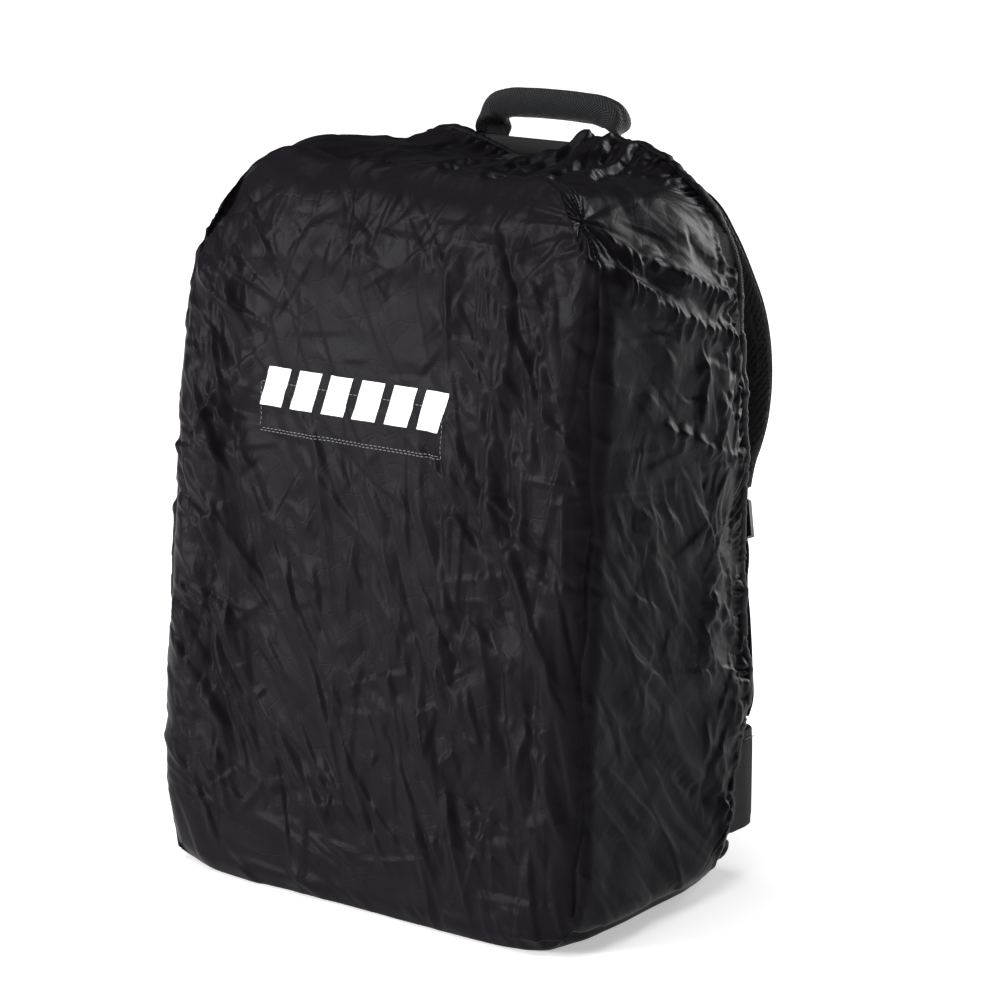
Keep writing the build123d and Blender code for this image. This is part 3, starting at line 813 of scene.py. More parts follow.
def cover_cloth():
    """Thin coated cloth with a faint crumple in its sheen."""
    s = Shade("cover_cloth", (0.0066, 0.0055, 0.0077), 0.3, 0.034)
    bent = warped(s, 28, 14)
    wide = s.ramp(s.cells(60, bent), 0.0, 0.05)
    small = s.ramp(s.cells(150, warped(s, 60, 7)), 0.0, 0.07)
    s.bump(wide, 0.12, 0.4)
    s.bump(small, 0.07, 0.3)
    s.bump(s.grain(900, 2), 0.05, 0.5)
    patch = s.grain(14, 2)
    s.tint(patch, (0.0060, 0.0051, 0.0069), (0.0078, 0.0066, 0.0090))
    s.rough(patch, 0.33, 0.43)
    return s.mat


YARN = 2 * np.pi / 5200


def pack_cloth(name="pack_cloth", colour=(0.012, 0.012, 0.0125)):
    """Matt woven cloth of the pack."""
    s = Shade(name, colour, 0.75, 0.25)
    x, y, z = s.coordinates("Object")
    s.bump(s.math("MULTIPLY", s.wave(x, y, YARN), s.wave(z, y, YARN, "SUBTRACT")), 0.25, 0.6)
    s.bump(s.grain(60, 3), 0.8, 0.35)
    spot = s.grain(25, 4)
    s.tint(spot, times(colour, 0.8), times(colour, 1.3))
    s.rough(spot, 0.66, 0.85)
    return s.mat


def webbing(name="webbing", chevron=7.0, colour=(0.010, 0.0105, 0.0125)):
    """Herringbone webbing: slanting ribs that turn back every few millimetres, with painted shade in their
    grooves and painted highlight on their crests.
    """
    s = Shade(name, colour, 0.6, 0.3)
    u, v, _ = s.coordinates("UV")
    turn = s.math("PINGPONG", u, chevron)
    rib = s.wave(v, turn, 1.9)
    s.bump(rib, 0.45, 0.9)
    s.bump(s.wave(turn, v, 0.7, "SUBTRACT"), 0.12, 0.6)
    # Painted shade and highlight: the ribs' grooves darker and their crests lighter, following the relief.
    s.tint(s.ramp(rib, -1, 1), times(colour, 0.35), times(colour, 1.7))
    s.rough(s.grain(200, 2), 0.5, 0.75)
    return s.mat


def pad_mesh():
    """Spacer mesh over the back pads, its rows of holes seen from behind, with painted shade in the holes."""
    pitch, colour = 3.6, (0.013, 0.0135, 0.015)
    s = Shade("pad_mesh", colour, 0.7, 0.2)
    x, _, z = s.coordinates("Object")
    a = s.wave(x, 0, pitch * MM, form="COSINE")
    b = s.wave(z, 0, 2 * pitch * MM, form="COSINE")
    hole = s.ramp(s.math("MULTIPLY", a, b), 0.12, 0.62)
    s.bump(hole, -0.9, 1.0)
    s.bump(s.grain(1800, 2), 0.15, 0.5)
    # Painted shade: the holes near black as the shade inside them, the yarn between them lighter.
    s.tint(hole, times(colour, 1.5), times(colour, 0.15))
    s.rough(hole, 0.6, 0.95)
    return s.mat


def knit():
    """Knitted yarn of the strap's spacer mesh, between its modelled holes."""
    colour = (0.014, 0.0145, 0.016)
    s = Shade("strap_knit", colour, 0.65, 0.25)
    u, v, _ = s.coordinates("UV")
    s.bump(s.math("MULTIPLY", s.wave(u, v, 0.9), s.wave(u, v, 0.9, "SUBTRACT")), 0.2, 0.7)
    spot = s.grain(300, 3)
    s.tint(spot, times(colour, 0.6), times(colour, 1.4))
    s.rough(spot, 0.55, 0.8)
    return s.mat


def plastic_coil():
    """Plastic coil of the zips."""
    s = Shade("zip_coil", (0.013, 0.013, 0.014), 0.35, 0.5)
    s.bump(s.grain(2500, 1), 0.04, 0.6)
    s.rough(s.grain(300, 2), 0.3, 0.5)
    return s.mat


def plastic():
    """Moulded plastic of the strap fittings and buckles."""
    s = Shade("moulded_plastic", (0.009, 0.009, 0.0095), 0.45, 0.25)
    s.bump(s.grain(1400, 2), 0.05, 0.7)
    s.rough(s.grain(90, 3), 0.36, 0.5)
    return s.mat


def painted_zinc():
    """Painted metal of the zip pulls, a little worn."""
    s = Shade("zip_metal", (0.02, 0.02, 0.021), 0.3, 0.6)
    worn = s.grain(700, 4)
    s.tint(s.ramp(worn, 0.6, 0.8), (0.016, 0.016, 0.017), (0.09, 0.088, 0.085))
    s.bump(worn, 0.05, 0.4)
    s.rough(worn, 0.25, 0.42)
    return s.mat


def reflective():
    """Silver-white bead-coated print, crazed a little by the folds under it, with a faint painted glow."""
    s = Shade("reflective", (0.86, 0.86, 0.87), 0.45, 0.5)
    crack = s.ramp(s.cells(160, warped(s, 50, 8)), 0.0, 0.05)
    s.tint(crack, (0.55, 0.55, 0.56), (0.88, 0.88, 0.89))
    s.bump(s.grain(2500, 1), 0.05, 0.5)
    # Painted light: a faint white glow, which keeps the print white where it lies in shade.
    s.out.inputs["Emission Color"].default_value = (1, 1, 1, 1)
    s.out.inputs["Emission Strength"].default_value = 0.12
    return s.mat


def thread(name, colour):
    """Sewing thread."""
    s = Shade(name, colour, 0.6, 0.3)
    s.bump(s.grain(1500, 1), 0.1, 0.6)
    s.tint(s.grain(400, 2), times(colour, 0.7), times(colour, 1.2))
    return s.mat


def laminate(name, colour):
    """Brushed loop lining over foam, and plastic board."""
    s = Shade(name, colour, 0.9, 0.15)
    s.bump(s.grain(1100, 3), 0.5, 0.8)
    s.tint(s.grain(300, 4), times(colour, 0.7), times(colour, 1.25))
    return s.mat


# ---------------------------------------------------------------- building blocks for the other pieces
def build(name, points, faces, material, uvs=None):
    """A closed piece in millimetres, its faces turned outwards, with one UV for each corner of each face."""
    points = np.asarray(points, float)
    fans = np.array([(f[0], f[k], f[k + 1]) for f in faces for k in range(1, len(f) - 1)])
    a, b, c = points[fans[:, 0]], points[fans[:, 1]], points[fans[:, 2]]
    if (a * np.cross(b, c)).sum() < 0:
        faces = [f[::-1] for f in faces]
        uvs = [u[::-1] for u in uvs] if uvs else None
    mesh = bpy.data.meshes.new(name)
    mesh.from_pydata((points * MM).tolist(), [], [list(map(int, f)) for f in faces])
    if uvs:
        layer = mesh.uv_layers.new(name="uv")
        layer.data.foreach_set("uv", np.array([c for u in uvs for c in u], np.float32).ravel())
    mesh.polygons.foreach_set("use_smooth", np.ones(len(mesh.polygons), bool))
    mesh.materials.append(material)
    return linked(name, mesh)


def ring_faces(rings):
    """Faces and UVs, in millimetres, of the closed skin through rings of points."""
    n, m, _ = rings.shape
    step = np.linalg.norm(np.roll(rings, -1, 1) - rings, axis=2).mean(0)
    u = np.concatenate([[0], np.cumsum(step)])
    v = np.concatenate([[0], np.cumsum(np.linalg.norm(np.diff(rings, axis=0), axis=2).mean(1))])
    faces, uvs = [], []
    for i in range(n - 1):
        for j in range(m):
            k = (j + 1) % m
            faces.append((i * m + j, i * m + k, (i + 1) * m + k, (i + 1) * m + j))
            uvs.append(((u[j], v[i]), (u[j + 1], v[i]), (u[j + 1], v[i + 1]), (u[j], v[i + 1])))
    return faces, uvs, u, v


def skin(name, rings, material, closed=False):
    """Closed piece through rings of points; its ends are capped unless the rings close on themselves."""
    rings = np.asarray(rings, float)
    if closed:
        rings = np.concatenate([rings, rings[:1]])
    n, m, _ = rings.shape
    faces, uvs, u, v = ring_faces(rings)
    points = rings.reshape(-1, 3)
    if closed:
        faces = [tuple(i if i < (n - 1) * m else i - (n - 1) * m for i in f) for f in faces]
        return build(name, points[:(n - 1) * m], faces, material, uvs)
    for i, base in ((0, 0), (n - 1, (n - 1) * m)):
        centre = len(points)
        points = np.vstack([points, rings[i].mean(0)])
        for j in range(m):
            rim = (base + j, base + (j + 1) % m)
            faces.append((*rim, centre) if i else (*rim[::-1], centre))
            uvs.append(((u[j], v[i]), (u[j + 1], v[i]), (u[j], v[i])))
    return build(name, points, faces, material, uvs)


def curve(points, step):
    """Points every few millimetres along a smooth curve through the given ones; extra columns go along."""
    p = np.asarray(points, float)
    run = run_along(p[:, :3])
    t = np.linspace(0, run[-1], max(3, int(round(run[-1] / step)) + 1))
    slope = np.gradient(p, run, axis=0)
    i = np.clip(np.searchsorted(run, t, side="right") - 1, 0, len(p) - 2)
    h = (run[i + 1] - run[i])[:, None]
    w = (t - run[i])[:, None] / h
    return ((1 + 2 * w) * (1 - w) ** 2 * p[i] + w * (1 - w) ** 2 * h * slope[i]
            + w * w * (3 - 2 * w) * p[i + 1] + w * w * (w - 1) * h * slope[i + 1])


def oblong(half, low, high, count=28, power=5.0):
    """Flat rounded section: offsets across and up."""
    a = np.linspace(0, 2 * np.pi, count, endpoint=False)
    c, s = np.cos(a), np.sin(a)
    across = half * np.sign(c) * np.abs(c) ** (2 / power)
    up = (low + high) / 2 + (high - low) / 2 * np.sign(s) * np.abs(s) ** (2 / power)
    return across, up


def frames(points, across):
    """Unit along, side and up at each point, the side kept nearest to the given one."""
    along = units(np.gradient(points, axis=0))
    across = np.broadcast_to(np.asarray(across, float), points.shape)
    side = units(across - (across * along).sum(1)[:, None] * along)
    return along, side, np.cross(side, along)


def strip(name, points, across, half, low, high, material, power=5.0, count=28, step=2.0):
    """A strap through the points; half, low and high are numbers or one for each point."""
    points = np.asarray(points, float)
    cols = [np.broadcast_to(np.asarray(v, float), len(points)) for v in (half, low, high)]
    path = curve(np.column_stack([points] + cols), step)
    centre, sizes = path[:, :3], path[:, 3:]
    _, side, up = frames(centre, across)
    rings = [laid(c, *oblong(*size, count, power), s, n) for c, s, n, size in zip(centre, side, up, sizes)]
    return skin(name, rings, material)


def outline_points(x0, x1, z0, z1, r_low, r_high, step=4.0):
    """Rounded rectangle in front view, counter-clockwise, evenly spaced."""
    pts = []
    for cx, cz, r, start in ((x1 - r_low, z0 + r_low, r_low, -90), (x1 - r_high, z1 - r_high, r_high, 0),
                             (x0 + r_high, z1 - r_high, r_high, 90), (x0 + r_low, z0 + r_low, r_low, 180)):
        a = np.radians(np.linspace(start, start + 90, 9))
        pts += [(cx + r * np.cos(t), cz + r * np.sin(t)) for t in a]
    pts = np.array(pts + pts[:1])
    run = run_along(pts)
    t = np.linspace(0, run[-1], int(run[-1] / step), endpoint=False)
    return np.stack([np.interp(t, run, pts[:, 0]), np.interp(t, run, pts[:, 1])], 1)


def cushion(name, outline, back, thick, material, crown=0.5, edge=6.0, dents=None, at=None):
    """A crowned pad over an outline: back is the Y of its flat side, dents(x, z) lowers its face."""
    outline = np.asarray(outline, float)
    middle = outline.mean(0)
    reach = np.linalg.norm(outline - middle, axis=1).min()
    steps = [(1 - 0.35 * edge / reach, 0.0), (1, 0.32)]
    for a in np.radians((20, 45, 70, 90)):
        steps.append((1 - edge / reach * (1 - np.cos(a)), 0.32 + (0.68 - crown * 0.4) * np.sin(a)))
    inner = 1 - edge / reach
    for w in np.linspace(0, 1, 14)[1:-1]:
        steps.append((inner * (1 - w), 1 - crown * 0.4 * (1 - w) ** 2))
    rings = []
    for scale, height in steps:
        p = middle + (outline - middle) * scale
        lift = thick * height
        if dents is not None:
            lift = lift - dents(p[:, 0], p[:, 1]) * smooth(0.5, 1.0, height)
        y = back + np.broadcast_to(lift, len(p))
        rings.append(np.stack([p[:, 0], y, p[:, 1]], 1))
    rings.insert(0, np.array([middle[0], back, middle[1]]) * 0.98 + rings[0] * 0.02)
    if at is not None:
        rings = [at(r) for r in rings]
    return skin(name, rings, material)


def prism(base, corners, rings):
    """Faces of a closed piece through rings of points, numbered from base."""
    faces = []
    for low in range(base, base + corners * (rings - 1), corners):
        for a in range(corners):
            b = (a + 1) % corners
            faces.append((low + a, low + b, low + corners + b, low + corners + a))
    last = base + corners * (rings - 1)
    faces.append(tuple(reversed(range(base, base + corners))))
    faces.append(tuple(range(last, last + corners)))
    return faces


def stitches(name, path, normal, material, length=2.6, gap=1.3, width=0.35, lift=0.15):
    """A row of sewn stitches along the path, each a small five-sided bead of thread."""
    path = np.asarray(path, float)
    run = run_along(path)
    normal = np.broadcast_to(np.asarray(normal, float), path.shape)
    points, faces = [], []
    start = 0.3
    while start + length < run[-1]:
        ts = np.array([start, start + 0.2 * length, start + 0.8 * length, start + length])
        c = at_run(ts, run, path)
        n = at_run(ts, run, normal)
        side = unit(*np.cross(n[1], unit(*(c[3] - c[0]))))
        base = len(points)
        for k, fat in enumerate((0.35, 1.0, 1.0, 0.35)):
            for a in range(5):
                t = 2 * np.pi * a / 5
                points.append(c[k] + n[k] * (lift + width * fat * np.sin(t)) + side * width * fat * np.cos(t))
        faces += prism(base, 5, 4)
        start += length + gap
    return build(name, points, faces, material)


def join(name, *objs):
    """One piece out of several."""
    first = objs[0]
    with bpy.context.temp_override(active_object=first, selected_editable_objects=list(objs)):
        bpy.ops.object.join()
    first.name = name
    first.data.name = name
    return first


def place(obj, body, slot_name, *nodes, bend=None):
    """The piece rides on a body, or, with bend given, keeps its place with its transform baked in; it hides
    the CAD nodes it stands for. The slot name is not used.
    """
    if bend:
        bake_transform(obj)
    else:
        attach(obj, body)
    if nodes:
        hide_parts(*nodes)
    return obj


def swell(obj, limit):
    """Blows the pad up as cloth from inside, no point moving further than the limit."""
    remesh = obj.modifiers.new("remesh", "REMESH")
    remesh.mode = "VOXEL"
    remesh.voxel_size = 5.0 * MM
    cloth = obj.modifiers.new("cloth", "CLOTH")
    cloth.settings.use_pressure = True
    cloth.settings.uniform_pressure_force = 4.0
    cloth.settings.effector_weights.gravity = 0
    cloth.settings.quality = 6
    cloth.settings.tension_stiffness = 12
    cloth.settings.compression_stiffness = 6
    cloth.settings.bending_stiffness = 0.4

    def shape():
        bpy.context.view_layer.update()
        mesh = as_shown(obj).to_mesh()
        out = np.empty(3 * len(mesh.vertices), np.float32)
        mesh.vertices.foreach_get("co", out)
        return out.reshape(-1, 3).astype(float)

    scene = bpy.context.scene
    scene.frame_set(1)
    before = shape()
    for number in range(2, 21):
        scene.frame_set(number)
    after = shape()
    done = bpy.data.meshes.new_from_object(as_shown(obj))
    move = after - before
    size = np.linalg.norm(move, axis=1)[:, None]
    after = before + move * np.minimum(1, limit * MM / np.maximum(size, 1e-9))
    obj.modifiers.clear()
    done.vertices.foreach_set("co", after.astype(np.float32).ravel())
    done.polygons.foreach_set("use_smooth", np.ones(len(done.polygons), bool))
    material = obj.data.materials[0]
    obj.data = done
    done.materials.clear()
    done.materials.append(material)
    scene.frame_set(1)


def as_shown(obj):
    """The piece with its modifiers, as the scene shows it."""
    return obj.evaluated_get(bpy.context.evaluated_depsgraph_get())


def subdivide(obj):
    """One level of subdivision, applied."""
    mod = obj.modifiers.new("fine", "SUBSURF")
    mod.levels = mod.render_levels = 1
    bpy.context.view_layer.update()
    done = bpy.data.meshes.new_from_object(as_shown(obj))
    obj.modifiers.clear()
    obj.data = done


def shift_points(obj, change):
    """Moves the piece's points: change takes and gives an array in millimetres."""
    co = np.empty(3 * len(obj.data.vertices), np.float32)
    obj.data.vertices.foreach_get("co", co)
    p = change(co.reshape(-1, 3).astype(float) / MM)
    obj.data.vertices.foreach_set("co", (p * MM).astype(np.float32).ravel())
    obj.data.update()


# ---------------------------------------------------------------- the pieces on the cover
PRINT_X, PRINT_Z, PRINT_HEIGHT = -16.0, 312.0, 24.0
DASH_WIDTH, DASH_PITCH, DASH_COUNT, DASH_SLANT = 17.0, 24.0, 6, 7.0
PATCH_X, PATCH_Z, PATCH_WIDTH, PATCH_HEIGHT = -17.5, 299.5, 139.0, 30.0


def lay_on(tree, points, lift):
    """Points of the front view (x, z) laid on the cover's face, with the normals there."""
    out, normals = [], []
    for x, z in points:
        hit, n, _, _ = tree.ray_cast(Vector((x * MM, -0.4, z * MM)), Vector((0, 1, 0)))
        n = n if n.y < 0 else -n
        out.append(np.array(hit) / MM + np.array(n) * lift)
        normals.append(np.array(n))
    return np.array(out), np.array(normals)


def dashes(tree, material):
    """The row of slanted reflective dashes, lying in the cloth's folds."""
    points, faces = [], []
    nx, nz = 13, 18
    for k in range(DASH_COUNT):
        x0 = PRINT_X + (k - (DASH_COUNT - 1) / 2) * DASH_PITCH
        grid = []
        for i in range(nx + 1):
            for j in range(nz + 1):
                u, v = i / nx - 0.5, j / nz - 0.5
                grid.append((x0 + u * DASH_WIDTH + v * DASH_SLANT, PRINT_Z + v * PRINT_HEIGHT))
        top, _ = lay_on(tree, grid, 0.35)
        base = len(points)
        points += list(top)
        row = nz + 1
        for i in range(nx):
            for j in range(nz):
                a = base + i * row + j
                faces.append((a, a + row, a + row + 1, a + 1))
    obj = to_mesh("reflective_dashes", points, faces, material)
    return place(obj, "rain_cover", "reflective", "reflective_print")


def patch_seam(tree, material):
    """The light stitching of the rectangle sewn behind the print."""
    x0, x1 = PATCH_X - PATCH_WIDTH / 2, PATCH_X + PATCH_WIDTH / 2
    z0, z1 = PATCH_Z - PATCH_HEIGHT / 2, PATCH_Z + PATCH_HEIGHT / 2
    rows = [((x0, z0), (x1, z0)), ((x1, z0), (x1, z1)), ((x1, z1), (x0, z1)), ((x0, z1), (x0, z0)),
            ((x0 + 2, z0 + 1.6), (x1 - 2, z0 + 1.6))]
    sewn = []
    for k, (a, b) in enumerate(rows):
        count = max(int(np.hypot(b[0] - a[0], b[1] - a[1]) / 1.5), 2)
        line = [(a[0] + (b[0] - a[0]) * t, a[1] + (b[1] - a[1]) * t) for t in np.linspace(0, 1, count)]
        path, normal = lay_on(tree, line, 0.1)
        sewn.append(stitches(f"row{k}", path, normal, material, 2.2, 0.9, 0.24, 0.2))
    return place(join("patch_stitching", *sewn), "rain_cover", "cover_cloth")


def hem_tunnel(grid, sheet, material):
    """The narrow gathered channel that holds the elastic, round the cover's edge."""
    edge = sheet[grid.ring[-1]]
    run = np.linalg.norm(np.roll(edge, -1, 0) - edge, axis=1)
    total = run.sum()
    at = np.concatenate([[0], np.cumsum(run)])
    closed = np.vstack([edge, edge[:1]])
    t = np.linspace(0, total, int(total / 1.8), endpoint=False)
    path = at_run(t, at, closed)
    for _ in range(3):
        path = (np.roll(path, 1, 0) + path + np.roll(path, -1, 0)) / 3
    along = units(np.roll(path, -1, 0) - np.roll(path, 1, 0))
    out = path - HEM_MIDDLE
    out[:, 1] = 0
    out -= (out * along).sum(1)[:, None] * along
    out = units(out)
    side = np.cross(along, out)
    side *= np.sign(side[:, 1])[:, None]
    rng = np.random.default_rng(SEED + 9)
    wave = ragged(t, rng, 7.5)
    rings = []
    for c, s, o, w in zip(path, side, out, wave):
        x, y = oblong(4.2 + 0.5 * w, -1.6 - 0.5 * w, 1.5 + 0.8 * w, 14, 2.6)
        ring = laid(c, x + 0.5, y - 1.0, s, o)
        ring[:, 2] = np.maximum(ring[:, 2], FLOOR_CLEAR)
        rings.append(ring)
    tunnel = skin("cover_hem_tunnel", rings, material, closed=True)
    return place(tunnel, "rain_cover", "cover_cloth", "cover_hem", "cover_elastic")


# ---------------------------------------------------------------- the pack under the cover
BODY_INSET, BODY_FRONT, SHELL_GAP = 6.5, 18.0, 5.0
BODY_BACK = 91.0


def wall_surface(inset, front_inset, y_back, turn_in, sag):
    """Grid and points of one face of the padded walls, its rear edge turned in over the rim."""
    across, up, rings = 56, 76, 30
    grid = CoverGrid(across, up, rings)
    p = grid.start.copy()
    hem = grid.ring[-1]

    def distance(q):
        moved = q.copy()
        moved[:, 1] -= front_inset - inset
        return volume_distance(moved, inset)

    for step in range(WALL_STEPS):
        d = distance(p)
        p -= d[:, None] * gradient(distance, p)
        if step < WALL_STEPS - 1:
            p = p + (grid.average(p) - p) * 0.7
            p[hem, 1] = y_back
    n = grid.normals(p)
    x, y, z = p.T
    _, right, left, top, _ = facing(n)
    h = -sag * top * smooth(-60, 0, y) * (1 - smooth(110, 150, np.abs(x)))
    h += (right + left) * 2.6 * bump(y, 5, 62) * smooth(30, 80, z) * (1 - smooth(360, 420, z))
    h += 1.2 * shoulder(p) - 0.5 * corner_slack(p)
    h += (right + left + top) * 0.35 * folded(p, np.random.default_rng(SEED + 51), 120, 4, 22) * 0.3
    p = p + n * h[:, None]
    last = p[hem]
    inward = HEM_MIDDLE - last
    inward[:, 1] = 0
    inward = units(inward)
    rows = []
    for reach, rise in turn_in:
        row = last + inward * reach
        row[:, 1] = y_back + rise
        rows.append(row)
    count = len(grid.loop)
    points = np.vstack([p] + rows)
    faces = [grid.faces]
    before = hem
    for k in range(len(rows)):
        now = len(p) + k * count + np.arange(count)
        faces.append(np.stack([now, np.roll(now, -1), np.roll(before, -1), before], -1))
        before = now
    return points, np.vstack(faces)


def pack_walls(cloth, lining):
    """The padded shell of the pack and the lining inside it."""
    rim = ((1.0, 0.9), (3.0, 1.0), (9.0, 1.0), (15.0, 0.8), (18.5, 0.2), (19.4, -1.4), (18.8, -3.2))
    points, faces = wall_surface(BODY_INSET + SHELL_GAP, BODY_FRONT, BODY_BACK - 0.4, rim, 6.0)
    shell = to_mesh("pack_shell", points, faces, cloth)
    place(shell, "bag", "pack_cloth", "front_wall", "side_wall_left", "side_wall_right", "top_wall",
          "base_wall", "rear_rim")
    rim = ((2, 0), (6, 0), (13, 0))
    points, faces = wall_surface(BODY_INSET + SHELL_GAP + 5.5, BODY_FRONT + 6, BODY_BACK - 4.0, rim, 5.0)
    inner = to_mesh("bay_lining", points, faces[:, ::-1], lining)
    place(inner, "bag", "lining")


POCKET_HALF, POCKET_LOW, POCKET_HIGH, POCKET_RADIUS = 137.0, 24.0, 405.0, 60.0
POCKET_FRONT, POCKET_BACK, POCKET_EDGE, ZIP_WIDTH = 7.0, 17.5, 14.0, 7.0


def on_slope(rings):
    """Rings made at y = -distance behind the front, leaned on to the sloping front."""
    out = rings.copy()
    out[:, 1] = front_y(out[:, 2]) - out[:, 1]
    return out


def front_pocket(cloth, tape, coil):
    """The arched pocket on the front, with its zip."""
    half = POCKET_HALF - 1
    outline = outline_points(-half, half, POCKET_LOW + 1, POCKET_HIGH - 1, 26, POCKET_RADIUS)
    depth = POCKET_BACK - POCKET_FRONT
    ripple = np.random.default_rng(SEED + 61).uniform(0, 6, 4)

    def dents(x, z):
        return 0.8 + 0.6 * np.sin(x / 34 + ripple[0]) * np.sin(z / 41 + ripple[1]) + 0.8 * bump(z, 96, 3)

    pocket = cushion("front_pocket_bag", outline, -POCKET_BACK, depth, cloth, 0.25, 7, dents, on_slope)
    place(pocket, "bag", "pack_cloth", "front_pocket")
    edge = POCKET_EDGE + ZIP_WIDTH / 2
    half = POCKET_HALF - edge
    loop = outline_points(-half, half, 60, POCKET_HIGH - edge, 20, POCKET_RADIUS - edge, 5)
    arch = loop[loop[:, 1] > 190]
    arch = arch[np.argsort(np.unwrap(np.arctan2(arch[:, 1] - 200, arch[:, 0])))]
    path = np.stack([arch[:, 0], front_y(arch[:, 1]) + POCKET_FRONT - 0.1, arch[:, 1]], 1)
    way = np.gradient(path, axis=0)
    across = np.cross(way, (0, 1, 0))
    rings = [laid(c, *oblong(3.4, -0.5, 0.7, 16, 4), a, FORWARD) for c, a in zip(path, units(across))]
    band = skin("front_pocket_tape", rings, tape)
    place(band, "bag", "zip_tape", "front_pocket_zip")
    teeth = zip_teeth("front_pocket_coil", path, across, FORWARD, 1.3, coil, 0.7)
    place(teeth, "bag", "zip_tape")


def zip_teeth(name, path, across, up, half, material, lift):
    """Coil teeth that mesh from both sides along the path, standing up from its tape."""
    pitch, tall = 1.7, 0.9
    run = run_along(path)
    t = np.arange(pitch, run[-1] - pitch, pitch / 2)
    across = units(across)
    centre = at_run(t, run, path)
    side = at_run(t, run, across)
    points, faces = [], []
    section = ((-0.25, 0.2), (0.0, 0.8), (0.45, 1.0), (0.9, 0.7), (1.0, 0.1), (0.4, 0.0))
    for i in range(len(centre) - 1):
        way = side[i] * (1 if i % 2 else -1)
        along = np.cross(up, side[i])
        base = len(points)
        for w in (-0.3 * pitch, 0.3 * pitch):
            for x, y in section:
                point = centre[i] + along * w * (1 - 0.4 * abs(x)) + way * x * half
                points.append(point + up * (lift + y * tall))
        faces += prism(base, 6, 2)
    return build(name, points, faces, material)


PANEL_LOW, PANEL_HIGH, PANEL_EDGE, PANEL_RADIUS = 31.0, 431.0, 14.0, 60.0
PANEL_FACE_Y = 99.0


def panel_line(grow):
    """Outline of the access panel, grown all round."""
    low, high, edge = PANEL_LOW - grow, PANEL_HIGH + grow, PANEL_EDGE - grow
    x = half_width((low + high) / 2) - edge
    pts = outline_points(-x, x, low, high, 8 + grow, PANEL_RADIUS + grow)
    lean = half_width(pts[:, 1]) - half_width((low + high) / 2)
    pts[:, 0] += np.sign(pts[:, 0]) * lean * smooth(0, 100, np.abs(pts[:, 0]))
    return pts


def main_zip(tape, coil):
    """The zip round the access panel."""
    line = panel_line(2.1)
    line = np.roll(line, -int(np.argmin(line[:, 1] + 1000 * (np.abs(line[:, 0]) > 3))), axis=0)
    arch = line[line[:, 1] > 104.5]
    path = np.stack([arch[:, 0], 0 * arch[:, 0] + 93.5, arch[:, 1]], 1)
    across = np.cross(np.gradient(path, axis=0), (0, 1, 0))
    rings = [laid(c, *oblong(1.9, -2.4, 1.8, 14, 3), a, BACKWARD) for c, a in zip(path, units(across))]
    band = skin("main_zip_tape", rings, tape)
    place(band, "bag", "zip_tape", "main_zip")
    teeth = zip_teeth("main_zip_coil", path, across, BACKWARD, 1.5, coil, 1.5)
    place(teeth, "bag", "zip_tape")


# ---------------------------------------------------------------- the harness
def access_panel(mats):
    """Cloth face, lining and piping of the panel on the wearer's side."""
    face = cushion("panel_cloth", panel_line(-0.4), 96.6, 2.5, mats["pack_cloth"], 0.3, 4,
                   lambda x, z: 0.4 * np.sin(x / 23) * np.sin(z / 31))
    place(face, "access_panel", "pack_cloth", "panel_face")
    back = cushion("panel_lining_cloth", panel_line(-1.0), 94.4, -1.9, mats["lining"], 0.3, 3,
                   lambda x, z: -0.3 * np.sin(x / 19) * np.sin(z / 27))
    place(back, "access_panel", "lining", "panel_lining")
    edge = panel_line(-1.2)
    path = np.stack([edge[:, 0], 0 * edge[:, 0] + 98.2, edge[:, 1]], 1)
    rings = []
    for c in path:
        out = unit(c[0], 0, c[2] - 230)
        rings.append(laid(c, *oblong(1.1, -1.1, 1.1, 10, 2), out, BACKWARD))
    piping = skin("panel_piping", rings, mats["binding"], closed=True)
    place(piping, "access_panel", "webbing")


PAD_WIDTH, PAD_GAP, PAD_LOW, PAD_HIGH, PAD_THICK = 98.0, 26.0, 142.0, 392.0, 9.0
LUMBAR_HALF, LUMBAR_LOW, LUMBAR_HIGH, LUMBAR_THICK = 112.0, 46.0, 128.0, 13.0


def back_pads(mats):
    """Two tall back pads and the lumbar pad."""
    def groove(_, z):
        return 2.4 * (bump(z, 225, 4) + bump(z, 309, 4))

    def groove_low(x, _):
        return 3.0 * bump(np.abs(x), 46, 4)

    for side, tag in SIDES:
        mid = side * (PAD_GAP + PAD_WIDTH) / 2
        half = PAD_WIDTH / 2 - 2.5
        outline = outline_points(mid - half, mid + half, PAD_LOW + 2.5, PAD_HIGH - 2.5, 20, 20)
        pad = cushion(f"back_pad_mesh_{tag}", outline, PANEL_FACE_Y + 0.4, PAD_THICK - 3.5, mats["pad_mesh"],
                      0.45, 7)
        finish_pad(pad, groove, PAD_THICK)
        place(pad, "access_panel", "air_mesh", f"back_pad_{tag}")
    outline = outline_points(-LUMBAR_HALF + 3, LUMBAR_HALF - 3, LUMBAR_LOW + 3, LUMBAR_HIGH - 3, 22, 22)
    pad = cushion("lumbar_pad_mesh", outline, PANEL_FACE_Y + 0.4, LUMBAR_THICK - 5, mats["pad_mesh"], 0.45, 9)
    finish_pad(pad, groove_low, LUMBAR_THICK)
    place(pad, "access_panel", "air_mesh", "lumbar_pad")


def finish_pad(pad, groove, thick):
    """Swells a pad, evens it out and sews its channels in."""
    swell(pad, 5.0)
    subdivide(pad)

    def shape(p):
        lift = np.maximum(p[:, 1] - PANEL_FACE_Y - 0.3, 0)
        top = lift.max()
        lift = lift * (thick + 0.6) / top
        keep = 1 - np.clip(groove(p[:, 0], p[:, 2]) / thick, 0, 0.8)
        p[:, 1] = PANEL_FACE_Y + 0.3 + lift * keep
        return p

    shift_points(pad, shape)


